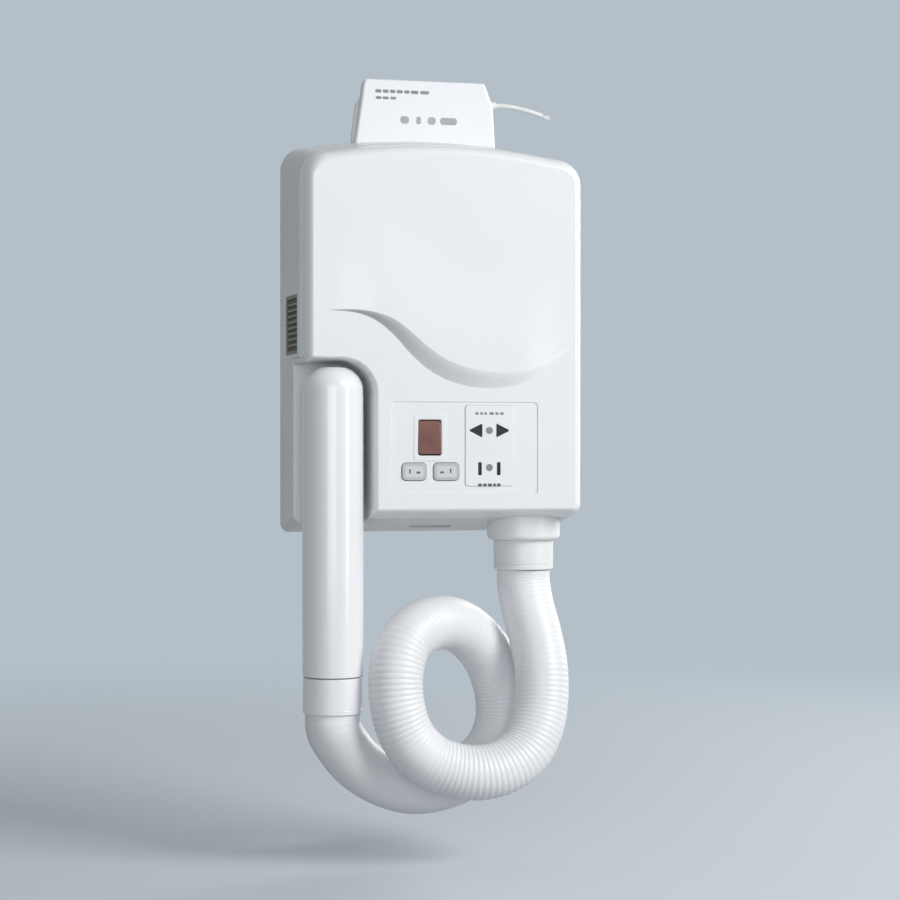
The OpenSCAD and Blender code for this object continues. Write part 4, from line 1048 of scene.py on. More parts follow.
def tube_object(
    name: str, rings: np.ndarray, ends: Sequence[np.ndarray], lengths: np.ndarray
) -> bpy.types.Object:
    """Makes a closed tube of rings, in millimetres, with an end point at each end.

    The tube's UV map holds the length along it and the angle round it.

    Args:
        name: the object's name.
        rings: rows of ring points.
        ends: the two end points.
        lengths: length along the tube at each ring.

    Returns:
        The object.
    """
    rows, sides = rings.shape[:2]
    i = np.arange(rows - 1)[:, None]
    j = np.arange(sides)[None, :]
    a, b = i * sides + j, i * sides + (j + 1) % sides
    quads = np.stack([a, b, b + sides, a + sides], -1).reshape(-1, 4)
    points = np.concatenate([rings.reshape(-1, 3), np.array(ends)])
    k = np.arange(sides)
    start = np.stack([np.full(sides, rows * sides), (k + 1) % sides, k], -1)
    last = (rows - 1) * sides
    end = np.stack([np.full(sides, rows * sides + 1), last + k, last + (k + 1) % sides], -1)
    mesh = bpy.data.meshes.new(name)
    mesh.from_pydata((points * MM).tolist(), [], quads.tolist() + start.tolist() + end.tolist())
    mesh.update()
    mesh.shade_smooth()
    mesh.set_sharp_from_angle(angle=math.radians(60))
    layer = mesh.uv_layers.new(name="Along")
    loops = np.zeros(len(mesh.loops), int)
    mesh.loops.foreach_get("vertex_index", loops)
    ring = np.minimum(loops // sides, rows - 1)
    uv = np.stack([lengths[ring] / 100.0, (loops % sides) / sides], -1)
    layer.data.foreach_set("uv", uv.astype(np.float32).reshape(-1))
    return place(name, mesh)


@dataclass
class RibbedHose:
    """The wire-wound soft hose that loops from the cuff to the wand, in millimetres.

    Stretched pairs a share of the length with how tall the ribs stand there. The wand carries only
    what lies beyond loop_end along the hose. The blend's ends are in metres.
    """

    radius: float = 19.0
    rib_pitch: float = 3.6
    rib_height: float = 0.55
    sides: int = 56
    rings_per_rib: int = 8
    plain_end: float = 4.0
    smooth_over: int = 9
    kept_rings: int = 12
    route: tuple = (
        (67, -45, -168), (67, -45, -178), (69, -49, -195), (73, -56, -216), (75, -64, -238),
        (73, -71, -262), (67, -77, -280), (57, -82, -294), (41, -86, -303), (23, -88, -306),
        (4, -88, -303), (-13, -88, -295), (-27, -88, -279), (-34, -87, -256), (-33, -83, -232),
        (-25, -76, -215), (-10, -66, -206), (9, -54, -205), (27, -42, -213), (42, -34, -228),
        (51, -30, -246), (55, -29, -264), (54, -30, -281), (46, -33, -298), (30, -36, -312),
        (9, -40, -320), (-15, -46, -321), (-38, -53, -313), (-57, -60, -300), (-70, -66, -284),
        (-75.5, -70, -274), (-75.5, -70, -264.2),
    )
    blend_start: tuple = (-0.020, -0.050, -0.321)
    blend_end: tuple = (-0.066, -0.066, -0.277)
    loop_end: float = 520.0
    stretched: tuple = ((0.0, 0.45), (0.19, 0.6), (0.28, 1.0), (0.43, 1.15), (0.48, 0.75),
                        (0.54, 0.45), (0.7, 0.45), (0.79, 0.3), (1.0, 0.25))

    def build(self) -> bpy.types.Object:
        """Winds the ribs along the route.

        The radius is radius - rib_height * (1 - |cos(pi * (s / pitch - a / 2 pi))|^0.8), a helix of
        rounded ribs, where s is the length along the hose and a the angle round it. The ribs stand
        lower where the hose is stretched, and fade out over the plain ends. Away from the ends
        the route is a running mean, so that no ring tilts.

        Returns:
            The hose.
        """
        cuff = Collar().build_cuff()
        fine = smooth_route(self.route, 24)
        total = run_length(fine)[-1]
        count = int(total / self.rib_pitch * self.rings_per_rib)
        even = even_route(fine, count)
        kernel, half = np.ones(self.smooth_over) / self.smooth_over, self.smooth_over // 2
        soft = np.stack([np.convolve(np.pad(even[:, k], half, "edge"), kernel, "valid")
                         for k in range(3)], -1)
        edge = np.minimum(np.arange(count), np.arange(count)[::-1]) < self.kept_rings
        even = np.where(edge[:, None], even, soft)
        frames = TubeFrame.along(even)
        frames.ahead[0], frames.ahead[-1] = (0, 0, -1), (0, 0, 1)
        s = np.linspace(0, total, count)
        a = np.linspace(0, 2 * np.pi, self.sides, endpoint=False)
        phase = np.pi * (s[:, None] / self.rib_pitch) - a[None, :] / 2
        rib = np.abs(np.cos(phase)) ** 0.8
        near_end = np.clip(np.minimum(s, total - s) / self.plain_end, 0, 1)
        tall = near_end * np.interp(s / total, *np.array(self.stretched).T)
        radius = self.radius - self.rib_height * (1 - rib) * tall[:, None]
        rings = frames.tube(radius, self.sides)
        hose = tube_object("ribbed_hose", rings, (even[0], even[-1]), s)
        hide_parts("hose")
        dress(hose, HOSE_PVC)
        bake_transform(hose, "housing", "wand", start=self.blend_start, end=self.blend_end)
        self.keep_loop(hose, s)
        LOG.info("hose: %.0f mm long, %d rings", total, count)
        return hose

    def keep_loop(self, hose: bpy.types.Object, s: np.ndarray) -> None:
        """Keeps all of the hose before its last stretch on the housing.

        Its front loop passes beside the blend's line, and would otherwise follow the wand too.

        Args:
            hose: the blended hose.
            s: length along the hose at each ring.
        """
        weights = hose.data.attributes["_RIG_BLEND"].data
        values = np.zeros(len(weights), np.float32)
        weights.foreach_get("value", values)
        along = np.concatenate([np.repeat(s, self.sides), [s[0], s[-1]]])
        values[along < self.loop_end] = 0.0
        weights.foreach_set("value", values)


@dataclass
class SupplyLead:
    """The short white supply lead at the side of the tongue, in millimetres.

    Over the last end_length its radius falls by end_fall.
    """

    radius: float = 1.8
    end_length: float = 0.5
    end_fall: float = 0.25
    sides: int = 32
    exit: tuple = (56.0, -6.5, 169.5)
    steps: tuple = (
        (0, 0, 0), (4, 0, 0), (11, 0, -0.5), (18, 0.5, -1.5), (25, 0.5, -3), (31, 1, -4.5),
        (36, 1.5, -6),
    )

    def build(self) -> bpy.types.Object:
        """Makes the sheath as a round tube with a rounded cut end."""
        points = np.array(self.exit) + np.array(self.steps)
        even = even_route(smooth_route(points, 12), 90)
        s = run_length(even)
        taper = np.clip((s[-1] - s) / self.end_length, 0, 1)
        radius = self.radius - self.end_fall * (1 - taper) ** 2
        rings = TubeFrame.along(even).tube(np.repeat(radius[:, None], self.sides, 1), self.sides)
        lead = tube_object("supply_lead_sheath", rings, (even[0], even[-1]), s)
        finish = HousePalette.standard().finishes["lead_white"]
        fit(lead, finish, solid="supply_lead")
        LOG.info("supply lead: %.0f mm of sheath", s[-1])
        return lead


# ---- Housing ----


@dataclass(frozen=True)
class HousingForm:
    """The tapered form of the housing in millimetres, from which its mouldings are cut.

    At depth y the outline is a rectangle 2 half_w wide with feet of radius foot_r, brows of radius
    brow_r and a top that falls by top_fall * (x / half_w)^2. The front edge is a quarter ellipse,
    edge_r deep and edge_in wide, and low_in of that high along the underside. The brow's arc ends
    at brow_end degrees, and the top's arch spans arch_span of the width between the brows' middles.
    The notch's arch has arc_points points.
    """

    back_y: float = -3.0
    front_y: float = -85.0
    front_w: float = 193.0
    back_w: float = 205.0
    front_h: float = 254.0
    back_h: float = 284.0
    top_fall: float = 11.0
    foot_r: float = 6.5
    brow_r: float = 18.0
    edge_r: float = 12.0
    edge_in: float = 6.3
    low_in: float = 0.6
    wall: float = 2.5
    joint_y: float = -64.0
    notch_x: float = -50.0
    notch_z: float = -22.7
    notch_r: float = 21.5
    floor_y: float = -46.0
    liner_t: float = 3.4
    floor_t: float = 2.2
    flare: float = 29.0
    brow_end: float = 79.5
    arch_span: float = 0.985
    arc_points: int = 33

    def taper(self, y: np.ndarray) -> np.ndarray:
        """0 at the back and 1 at the front."""
        return (self.back_y - y) / (self.back_y - self.front_y)

    def half_w(self, y: np.ndarray) -> np.ndarray:
        """Half the width at depth y."""
        return (self.back_w + (self.front_w - self.back_w) * self.taper(y)) / 2

    def half_h(self, y: np.ndarray) -> np.ndarray:
        """Half the height at depth y."""
        return (self.back_h + (self.front_h - self.back_h) * self.taper(y)) / 2

    def depths(self, y0: float, y1: float) -> tuple[np.ndarray, np.ndarray]:
        """Depths and insets from y0 forwards to y1 or round the front edge.

        Over the rounded edge the depth is front + edge_r (1 - sin a) and the inset
        edge_in (1 - cos a).

        Args:
            y0: the first depth.
            y1: the last depth; the front face's depth goes round the edge.

        Returns:
            The depths and the insets.
        """
        round_y = self.front_y + self.edge_r
        if y1 > round_y:
            y = np.linspace(y0, y1, 4)
            return y, np.zeros_like(y)
        a = np.linspace(0, np.pi / 2, 19)
        straight = np.linspace(y0, round_y, 3)[:-1] if y0 > round_y else np.zeros(0)
        y = np.concatenate([straight, self.front_y + self.edge_r * (1 - np.sin(a))])
        inset = np.concatenate([np.zeros(len(straight)), self.edge_in * (1 - np.cos(a))])
        return y, inset

    def brow_x(self, y: np.ndarray) -> np.ndarray:
        """Where the brow's arc has its middle."""
        return self.half_w(y) - self.brow_r

    def brow_z(self, y: np.ndarray) -> np.ndarray:
        """Height of the middle of the brow's arc, where the upright side ends."""
        fall = self.top_fall * (self.brow_x(y) / self.half_w(y)) ** 2
        return self.half_h(y) - fall - self.brow_r

    def foot(self, inset: np.ndarray) -> np.ndarray:
        """Radius of a foot, which shrinks round the front edge to about half its size."""
        return self.foot_r * (1 - 0.45 * inset / self.edge_in)

    def over_top(self, y: np.ndarray, inset: np.ndarray) -> np.ndarray:
        """The outline from the left side's top over the arch to the foot of the right side.

        Args:
            y: depths.
            inset: inset at each depth.

        Returns:
            Points, outline by depth by 3.
        """
        y, inset = y[None, :], inset[None, :]
        a = np.radians(np.linspace(0, self.brow_end, 24))[:, None]
        r = self.brow_r - inset
        brow = np.stack([self.brow_x(y) + r * np.cos(a), self.brow_z(y) + r * np.sin(a)], -1)
        t = np.linspace(self.arch_span, -self.arch_span, 81)[:, None]
        x = t * self.brow_x(y)
        top = self.half_h(y) - self.top_fall * (x / self.half_w(y)) ** 2 - inset
        arch = np.stack([x, top], -1)
        foot_a = np.radians(np.linspace(-90, 0, 24))[:, None]
        rf = self.foot(inset)
        foot = np.stack(
            [self.half_w(y) - inset - rf + rf * np.cos(foot_a),
             self.low_in * inset + rf - self.half_h(y) + rf * np.sin(foot_a)], -1)
        left = brow[::-1] * np.array([-1.0, 1.0])
        flat = np.concatenate([left[::-1], arch[::-1], brow[::-1], foot[::-1]])
        depth = np.broadcast_to(y[..., None], (*flat.shape[:2], 1))
        return np.concatenate([flat[..., :1], depth, flat[..., 1:]], -1)

    def left_foot(self, y: np.ndarray, inset: np.ndarray) -> np.ndarray:
        """The arc of the left foot, from the side to the underside."""
        y, inset = y[None, :], inset[None, :]
        a = np.radians(np.linspace(180, 270, 24))[:, None]
        r = self.foot(inset)
        x = inset + r - self.half_w(y) + r * np.cos(a)
        z = inset + r - self.half_h(y) + r * np.sin(a)
        return np.stack([x, np.broadcast_to(y, x.shape), z], -1)

    def arch(self, grow: float = 0.0) -> tuple[np.ndarray, np.ndarray]:
        """The arch of the notch, from its top round to its right wall.

        Args:
            grow: how far the line lies outside the notch.

        Returns:
            Flat points, and their normals away from the notch.
        """
        a = np.radians(np.linspace(90, 0, self.arc_points))
        normals = np.stack([np.cos(a), np.sin(a)], -1)
        middle = np.array([self.notch_x - self.notch_r, self.notch_z - self.notch_r])
        return middle + (self.notch_r + grow) * normals, normals

    def notch_curve(self, grow: float, y_back: float) -> tuple[np.ndarray, np.ndarray, np.ndarray]:
        """The edge of the cradle's notch on the housing's surface.

        It runs from the left side at y_back forwards round the edge, along the top of the notch,
        round its arch, down its right wall and back round the lower edge.

        Args:
            grow: how far the line lies outside the notch.
            y_back: where it starts and ends.

        Returns:
            Points, surface normals, and directions across the line into the notch.
        """
        y, inset = self.depths(y_back, self.front_y)
        zero = np.zeros_like(y)
        x_side = inset - self.half_w(y)
        z_low = self.low_in * inset - self.half_h(y)
        left = np.stack([x_side, y, zero + (self.notch_z + grow)], -1)
        low = np.stack([zero + (self.notch_x + grow), y, z_low], -1)
        dx, dy, dz = np.gradient(x_side), np.gradient(y), np.gradient(z_low)
        n_left = unit(np.stack([dy, -dx, zero], -1))
        n_low = unit(np.stack([zero, -dz, dy], -1))
        n_left[-1] = n_low[-1] = (0, -1, 0)
        flat, away = self.arch(grow)
        points = np.concatenate([left, at_depth(flat, self.front_y), low[::-1]])
        normals = np.concatenate([n_left, np.tile(FORWARD, (len(flat), 1)), n_low[::-1]])
        down, inward = np.array([0.0, 0.0, -1.0]), np.array([-1.0, 0.0, 0.0])
        across = np.concatenate([np.tile(down, (len(y), 1)), at_depth(-away, 0.0),
                                 np.tile(inward, (len(y), 1))])
        return points, normals, across


def surface_normals(points: np.ndarray, outward: np.ndarray) -> np.ndarray:
    """Unit normals of a grid from the cross product of its two directions.

    Args:
        points: the grid, rows by columns by 3.
        outward: a vector for each point that is roughly outwards.

    Returns:
        The normals.
    """
    return turned_to(unit(np.cross(*np.gradient(points, axis=(0, 1)))), outward)


def edge_run(
    work: Patchwork, points: np.ndarray, normals: np.ndarray, across: np.ndarray,
    profile: np.ndarray,
) -> None:
    """Carries a profile along a line on a surface.

    A point is line + b * across + n * normal; the profile's rows are b, n and the two parts of its
    own normal along them.
    """
    b, n = square_to(across, normals)[:, None, :], normals[:, None, :]
    p = profile[None, :, :, None]
    work.grid(points[:, None, :] + p[:, :, 0] * b + p[:, :, 1] * n, p[:, :, 2] * b + p[:, :, 3] * n)


def rounded_lip(r: float, depth: float, steps: int = 5) -> np.ndarray:
    """Profile for edge_run(): a quarter circle of radius r, and down to depth."""
    a = np.linspace(0, np.pi / 2, steps + 1)
    arc = np.stack([r * np.sin(a), -r * (1 - np.cos(a)), np.sin(a), np.cos(a)], -1)
    return np.concatenate([arc, [[r, -max(depth, r + 0.01), 1, 0]]])


@dataclass
class WaveLine:
    """The wave on the front face: above it the face stands proud, and a band slopes down to it.

    Each station gives x, the height of the wave's upper line and the band's upright width.
    """

    stations: tuple = (
        (-80.0, 12.6, 0.5), (-68.0, 13.1, 1.5), (-57.0, 12.6, 3.0), (-46.4, 10.6, 5.9),
        (-35.3, 6.3, 10.6), (-24.0, -1.9, 14.8), (-12.8, -11.6, 14.9), (-1.5, -19.3, 13.9),
        (9.9, -24.3, 13.0), (21.2, -27.5, 12.1), (32.7, -29.1, 11.1), (44.1, -29.2, 10.1),
        (55.6, -27.4, 9.2), (66.0, -23.6, 8.0), (75.0, -19.0, 6.0), (82.0, -14.2, 3.6),
        (87.4, -10.2, 0.5),
    )
    rise: float = 3.0
    reach: float = 78.0
    grows_over: float = 38.0
    fades_over: float = 34.0
    spacing: float = 3.0
    lattice_z: tuple = (-27.0, 118.0)
    room: tuple = (1.2, 2.0)
    thinnest: float = 0.4
    count: int = 181

    def lines(self) -> tuple[np.ndarray, np.ndarray, np.ndarray]:
        """Across position, height of the upper line and width, on a smooth curve."""
        knots = np.array(self.stations)
        path = smooth_route(knots.tolist(), 40)
        even = np.linspace(0, len(path) - 1, self.count)
        x, z, band = (np.interp(even, np.arange(len(path)), path[:, k]) for k in range(3))
        return x, z, np.maximum(band, self.thinnest)

    def above_line(self, flat: np.ndarray) -> np.ndarray:
        """How far points (x, z) lie above the wave's upper line."""
        x, z, _ = self.lines()
        return flat[..., 1] - np.interp(flat[..., 0], x, z)

    def height(self, flat: np.ndarray) -> np.ndarray:
        """How far the face stands proud at points (x, z); below the line it is 0."""
        return np.where(self.above_line(flat) > -0.02, self.swelling(flat), 0.0)

    def swelling(self, flat: np.ndarray) -> np.ndarray:
        """Height of the proud face.

        On the upper line it is rise times a swell that grows from the wave's left end and dies
        away at its right end. Above the line it falls with the smooth step of the distance over
        reach.
        """
        x = self.lines()[0]
        left = np.clip((flat[..., 0] - x[0]) / self.grows_over, 0, 1)
        right = np.clip((x[-1] - flat[..., 0]) / self.fades_over, 0, 1)
        way = np.clip(1 - self.above_line(flat) / self.reach, 0, 1)
        return self.rise * smooth_step(left) * smooth_step(right) * smooth_step(way)

    def outline(self) -> np.ndarray:
        """The band's outline on the face."""
        x, z, band = self.lines()
        top, low = np.stack([x, z], -1), np.stack([x, z - band], -1)
        return np.concatenate([top, low[::-1]])

    def lattice(self, top_z: np.ndarray) -> np.ndarray:
        """Points on the proud part of the face, one spacing apart.

        They keep the first room from the wave's line and the second from the upper edge.

        Args:
            top_z: x and z of the face's upper edge, to stay below.

        Returns:
            The points, n by 2.
        """
        x, z, _ = self.lines()
        gx, gz = np.meshgrid(np.arange(x[0], x[-1] - 1.0, self.spacing),
                             np.arange(*self.lattice_z, self.spacing))
        flat = np.stack([gx.ravel(), gz.ravel()], -1)
        order = np.argsort(top_z[:, 0])
        upper = np.interp(flat[:, 0], top_z[order, 0], top_z[order, 1])
        above = flat[:, 1] > np.interp(flat[:, 0], x, z) + self.room[0]
        return flat[above & (flat[:, 1] < upper - self.room[1])]

    def face_normals(self, flat: np.ndarray) -> np.ndarray:
        """Normals of the proud face, from the height's slope: (-dh/dx, -1, -dh/dz)."""
        d, above = 0.05, self.height(flat) > 0
        slope = [(self.swelling(flat + step) - self.swelling(flat - step)) / (2 * d)
                 for step in d * np.eye(2)]
        n = np.stack([-slope[0], -np.ones(len(flat)), -slope[1]], -1)
        return unit(np.where(above[:, None], n, FORWARD))

    def build_band(self, front_y: float, lean: Lean) -> bpy.types.Object:
        """Makes the band that slopes from the proud face down to the plain one.

        Its height falls as 1 - t^2 (2.2 - 1.2 t), where t runs from 0 at its top to 1 at its foot.

        Args:
            front_y: depth of the front face.
            lean: how the housing's right side leans.

        Returns:
            The band.
        """
        work = Patchwork()
        x, z, band = self.lines()
        t = np.linspace(0, 1, 9)[None, :]
        proud = self.height(np.stack([x, z], -1))[:, None]
        depth = front_y - proud * (1 - t * t * (2.2 - 1.2 * t))
        points = np.stack([x[:, None] + 0 * t, depth, z[:, None] - t * band[:, None]], -1)
        work.grid(points, surface_normals(points, FORWARD))
        # The band's material is painted shade, which fades out towards the right.
        return fit(work.build("front_wave_band", lean), WAVE_BAND_SHADE)


@dataclass
class Housing:
    """The white mouldings: front cover, rear moulding and the cradle's liner.

    Openings are given by their middle, width, height and corner radius, the peg and the wells by
    their middle (x, z) and radius. Gaps, lips and radii named _r are those of small edges.
    """

    form: HousingForm = field(default_factory=HousingForm)
    wave: WaveLine = field(default_factory=WaveLine)
    gap: float = 0.08
    lip: float = 0.2
    rim_r: float = 0.15
    step_gap: float = 0.25
    cove: float = 2.0
    floor_lip: float = 1.2
    panel: tuple = (14.5, -82.0, 104.3, 64.3, 3.0)
    slot: tuple = (3.0, -24.0, 30.0, 12.0, 1.5)
    slot_lip: float = 0.5
    slot_depth: float = 4.5
    inlet: tuple = (-40.0, 4.5, 36.3, 41.3, 0.8)
    peg: tuple = (-75.5, -120.0, 4.15)
    back_r: float = 0.8
    wells: tuple = ((-80.0, 98.0), (80.0, 98.0))
    well_r: float = 2.8
    well_depth: float = 8.5
    lean: Lean = field(default_factory=Lean)

    def skin(self, work: Patchwork, points: np.ndarray, flat_end: bool) -> None:
        """Adds a stretch of the outer surface and its lining.

        Args:
            work: the moulding's mesh.
            points: the grid of points, outline by depth.
            flat_end: True where its last column lies on the front face.
        """
        normals = surface_normals(points, points * FROM_AXIS + 30.0 * FORWARD)
        if flat_end:
            normals[:, -1] = (0, -1, 0)
        faces = grid_faces(*points.shape[:2])
        work.skin_and_lining(points, normals, faces, self.form.wall)

    def build_cover(self) -> bpy.types.Object:
        """Makes the front cover: rounded edge, flat face with its openings, and the wave."""
        f, work = self.form, Patchwork()
        grow = f.liner_t + self.gap + self.lip
        y, inset = f.depths(f.joint_y, f.front_y)
        over = f.over_top(y, inset)
        start = over[:1].copy()
        start[0, :, 2] = f.notch_z + grow
        end = over[-1:].copy()
        end[0, :, 0] = f.notch_x + grow
        points = np.concatenate([start, over, end])
        self.skin(work, points, True)
        curve, normals, across = f.notch_curve(grow, f.joint_y)
        on_face = slice(len(y), len(curve) - len(y))
        border = np.concatenate([points[:, -1][:, [0, 2]], curve[on_face][::-1][:, [0, 2]]])
        panel = Outline.rectangle(*self.panel)
        inner = self.wave.lattice(points[1:-1, -1][:, [0, 2]])
        flat, faces = flat_region(border, [panel.inset(-self.lip), self.wave.outline()], inner)
        face = Axis.FRONT.lay(flat, -f.front_y + self.wave.height(flat))
        work.skin_and_lining(face, self.wave.face_normals(flat), faces, f.wall)
        sweep_outline(work, panel, fillet(self.lip, f.wall), Axis.FRONT, -f.front_y, hole=True)
        edge_run(work, curve, normals, across, rounded_lip(self.lip, f.wall))
        self.joint_rim(work, points[:, 0], 1.0)
        cover = work.build("front_cover_moulding", self.lean)
        return fit(cover, WHITE_ABS, solid="front_cover")

    def joint_rim(self, work: Patchwork, rim: np.ndarray, side: float) -> None:
        """Rounds the edge where two mouldings meet.

        Args:
            work: the moulding's mesh.
            rim: points along the edge.
            side: 1 where the other moulding lies towards the wall, -1 where it lies in front.
        """
        tangent = unit(np.gradient(rim, axis=0))
        back = np.array([0.0, side, 0.0])
        normals = turned_to(unit(np.cross(tangent, back)), rim * FROM_AXIS)
        edge_run(work, rim - back * self.rim_r, normals, np.tile(back, (len(rim), 1)),
                 rounded_lip(self.rim_r, self.form.wall, 3))

    def build_shell(self) -> bpy.types.Object:
        """Makes the rear moulding: sides, underside with the release slot, and back."""
        f, work = self.form, Patchwork()
        back_y, rim_y = f.back_y - self.back_r, f.joint_y + self.gap
        y = np.linspace(back_y, rim_y + self.rim_r, 9)
        self.skin(work, f.over_top(y, 0 * y), False)
        y_notch = f.floor_y + f.floor_t + self.gap
        y_foot = np.linspace(back_y, y_notch + self.rim_r, 6)
        self.skin(work, f.left_foot(y_foot, 0 * y_foot), False)
        self.build_side(work, y, y_foot)
        self.build_underside(work, y, y_foot)
        self.build_back(work)
        none = np.zeros(1)
        for line, room in ((f.over_top(np.array([rim_y]), none)[:, 0], 0.3),
                           (f.left_foot(np.array([y_notch]), none)[:, 0], 0.2)):
            first, last = line[0].copy(), line[-1].copy()
            first[2], last[0] = f.notch_z + f.liner_t + room, f.notch_x + f.liner_t + room
            self.joint_rim(work, np.concatenate([[first], line, [last]]), -1.0)
        shell = work.build("rear_shell_moulding", self.lean)
        return fit(shell, BACK_ABS, solid="rear_shell")

    def build_side(self, work: Patchwork, y: np.ndarray, y_foot: np.ndarray) -> None:
        """Adds the left side, flat in depth and height, with the air inlet's opening.

        Its points are (-half_w(y), y, z).
        """
        f = self.form
        step_z = f.notch_z + f.liner_t + self.step_gap
        border = np.concatenate([
            np.stack([y_foot, f.foot_r - f.half_h(y_foot)], -1),
            [[y_foot[-1], step_z], [y[-1], step_z]],
            np.stack([y, f.brow_z(y)], -1)[::-1],
        ])
        hole = Outline.rectangle(*self.inlet, 4)
        flat, faces = flat_region(border, [hole.points])
        points = np.stack([-f.half_w(flat[:, 0]), *flat.T], -1)
        slope = (f.back_w - f.front_w) / 2 / (f.back_y - f.front_y)
        normals = np.tile(unit(np.array([-1.0, -slope, 0.0])), (len(points), 1))
        work.skin_and_lining(points, normals, faces, f.wall)
        edge = np.stack([-f.half_w(hole.points[:, 0]), *hole.points.T], -1)
        towards = np.stack([0 * edge[:, 0], *-hole.normals.T], -1)
        rows = np.stack([edge, edge + np.array([f.wall, 0.0, 0.0])], 1)
        work.grid(rows, np.stack([towards, towards], 1), True)

    def build_underside(self, work: Patchwork, y: np.ndarray, y_foot: np.ndarray) -> None:
        """Adds the underside, (x, y, -half_h(y)), with the slot for the release latch."""
        f = self.form
        wall_x = f.notch_x + f.liner_t + self.step_gap
        border = np.concatenate([
            np.stack([f.half_w(y) - f.foot_r, y], -1),
            [[wall_x, y[-1]], [wall_x, y_foot[-1]]],
            np.stack([f.foot_r - f.half_w(y_foot), y_foot], -1)[::-1],
        ])
        slot = Outline.rectangle(*self.slot)
        outer = slot.inset(-self.slot_lip)
        flat, faces = flat_region(border, [outer])
        slope = (f.back_h - f.front_h) / 2 / (f.back_y - f.front_y)
        normal = unit(np.array([0.0, -slope, -1.0]))
        points = np.stack([*flat.T, -f.half_h(flat[:, 1])], -1)
        work.skin_and_lining(points, np.tile(normal, (len(points), 1)), faces, f.wall)
        edge = np.stack([*outer.T, -f.half_h(outer[:, 1])], -1)
        into = np.stack([*-slot.normals.T, 0 * outer[:, 0]], -1)
        line, towards = (np.concatenate([loop, loop[:1]]) for loop in (edge, into))
        edge_run(work, line, np.tile(normal, (len(line), 1)), towards,
                 rounded_lip(self.slot_lip, self.slot_depth))

    def build_back(self, work: Patchwork) -> None:
        """Adds the back with a rounded edge, and the wells of its upper screws."""
        f = self.form
        y = np.array([f.back_y - self.back_r])
        over, foot = f.over_top(y, np.zeros(1))[:, 0], f.left_foot(y, np.zeros(1))[:, 0]
        ring = np.concatenate([over, foot[::-1]])[:, [0, 2]]
        tangent = unit(np.roll(ring, -1, 0) - np.roll(ring, 1, 0))
        side = np.stack([tangent[:, 1], -tangent[:, 0]], -1)
        outline = Outline(ring, turned_to(side, ring))
        a = np.linspace(0, np.pi / 2, 6)
        inset, rise = self.back_r * (1 - np.cos(a)), self.back_r * np.sin(a)
        flat = outline.points[:, None] - inset[None, :, None] * outline.normals[:, None]
        depth = np.broadcast_to(y[0] + rise[None, :], flat.shape[:2])
        points = np.stack([flat[..., 0], depth, flat[..., 1]], -1)
        n2 = outline.normals[:, None] * np.cos(a)[None, :, None]
        up = np.broadcast_to(np.sin(a)[None, :], n2.shape[:2])
        work.grid(points, np.stack([n2[..., 0], up, n2[..., 1]], -1), True)
        wells = [Outline.circle(x, z, self.well_r, 32) for x, z in self.wells]
        flat, faces = flat_region(outline.inset(self.back_r), [w.points for w in wells])
        normals = np.tile(BACKWARD, (len(flat), 1))
        work.skin_and_lining(at_depth(flat, f.back_y), normals, faces, f.wall)
        for well in wells:
            add_walls(work, well.points, -well.normals, (f.back_y, f.back_y - self.well_depth))

    def build_liner(self) -> bpy.types.Object:
        """Makes the cradle's liner: floor, arched wall and the flared rim that shows in front.

        The rim is curve - width (1 - sin a) across - (1 - cos a) sink, where sink is half a
        millimetre along the normal and grows to flare on the front face.
        """
        f, work, lip = self.form, Patchwork(), 0.5
        curve, normals, across = f.notch_curve(0.0, f.floor_y + f.floor_t)
        t, r = f.liner_t, 0.15
        a = np.linspace(0, np.pi / 2, 5)
        c, s = np.cos(a), np.sin(a)
        outer = np.stack([-t + r * (1 - c), -r * (1 - s), -c, s], -1)
        edge_run(work, curve, normals, across, np.concatenate([[[-t, -2.0, -1, 0]], outer]))
        a = np.linspace(0, np.pi / 2, 13)[None, :, None]
        facing = normals[:, 1:2] ** 4 * FORWARD
        sink = (lip * normals + (f.flare - lip) * facing)[:, None]
        across = square_to(across, normals)[:, None]
        flare = curve[:, None] - (t - r) * (1 - np.sin(a)) * across - (1 - np.cos(a)) * sink
        work.grid(flare, surface_normals(flare, normals[:, None] + across))
        ny = (len(curve) - f.arc_points) // 2
        low_edge = curve - sink[:, 0]
        left, right = low_edge[:ny], low_edge[-ny:]
        cx, cz = f.notch_x - f.notch_r, f.notch_z - f.notch_r
        y_front, y_cove = f.front_y + f.flare, f.floor_y - self.cove
        top = np.concatenate([left[left[:, 1] < y_cove][:, [0, 1]],
                              [[cx, y_front], [cx, y_cove], [left[0, 0], y_cove]]])
        add_flat(work, Axis.BELOW, -f.notch_z, top)
        wall = np.concatenate([right[right[:, 1] < y_cove][:, [1, 2]],
                               [[y_cove, right[-1, 2]], [y_cove, cz], [y_front, cz]]])
        add_flat(work, Axis.LEFT, -f.notch_x, wall)
        line, away = (side[::-1] for side in f.arch())
        rows = [at_depth(line, y) for y in np.linspace(y_front, y_cove, 4)]
        work.grid(np.stack(rows, 1), np.stack([at_depth(-away, 0.0)] * len(rows), 1))
        self.build_cradle_floor(work, left[0, 0], right[-1, 2])
        liner = work.build("cradle_liner_moulding", self.lean)
        return fit(liner, CRADLE_ABS, solid="cradle_liner")

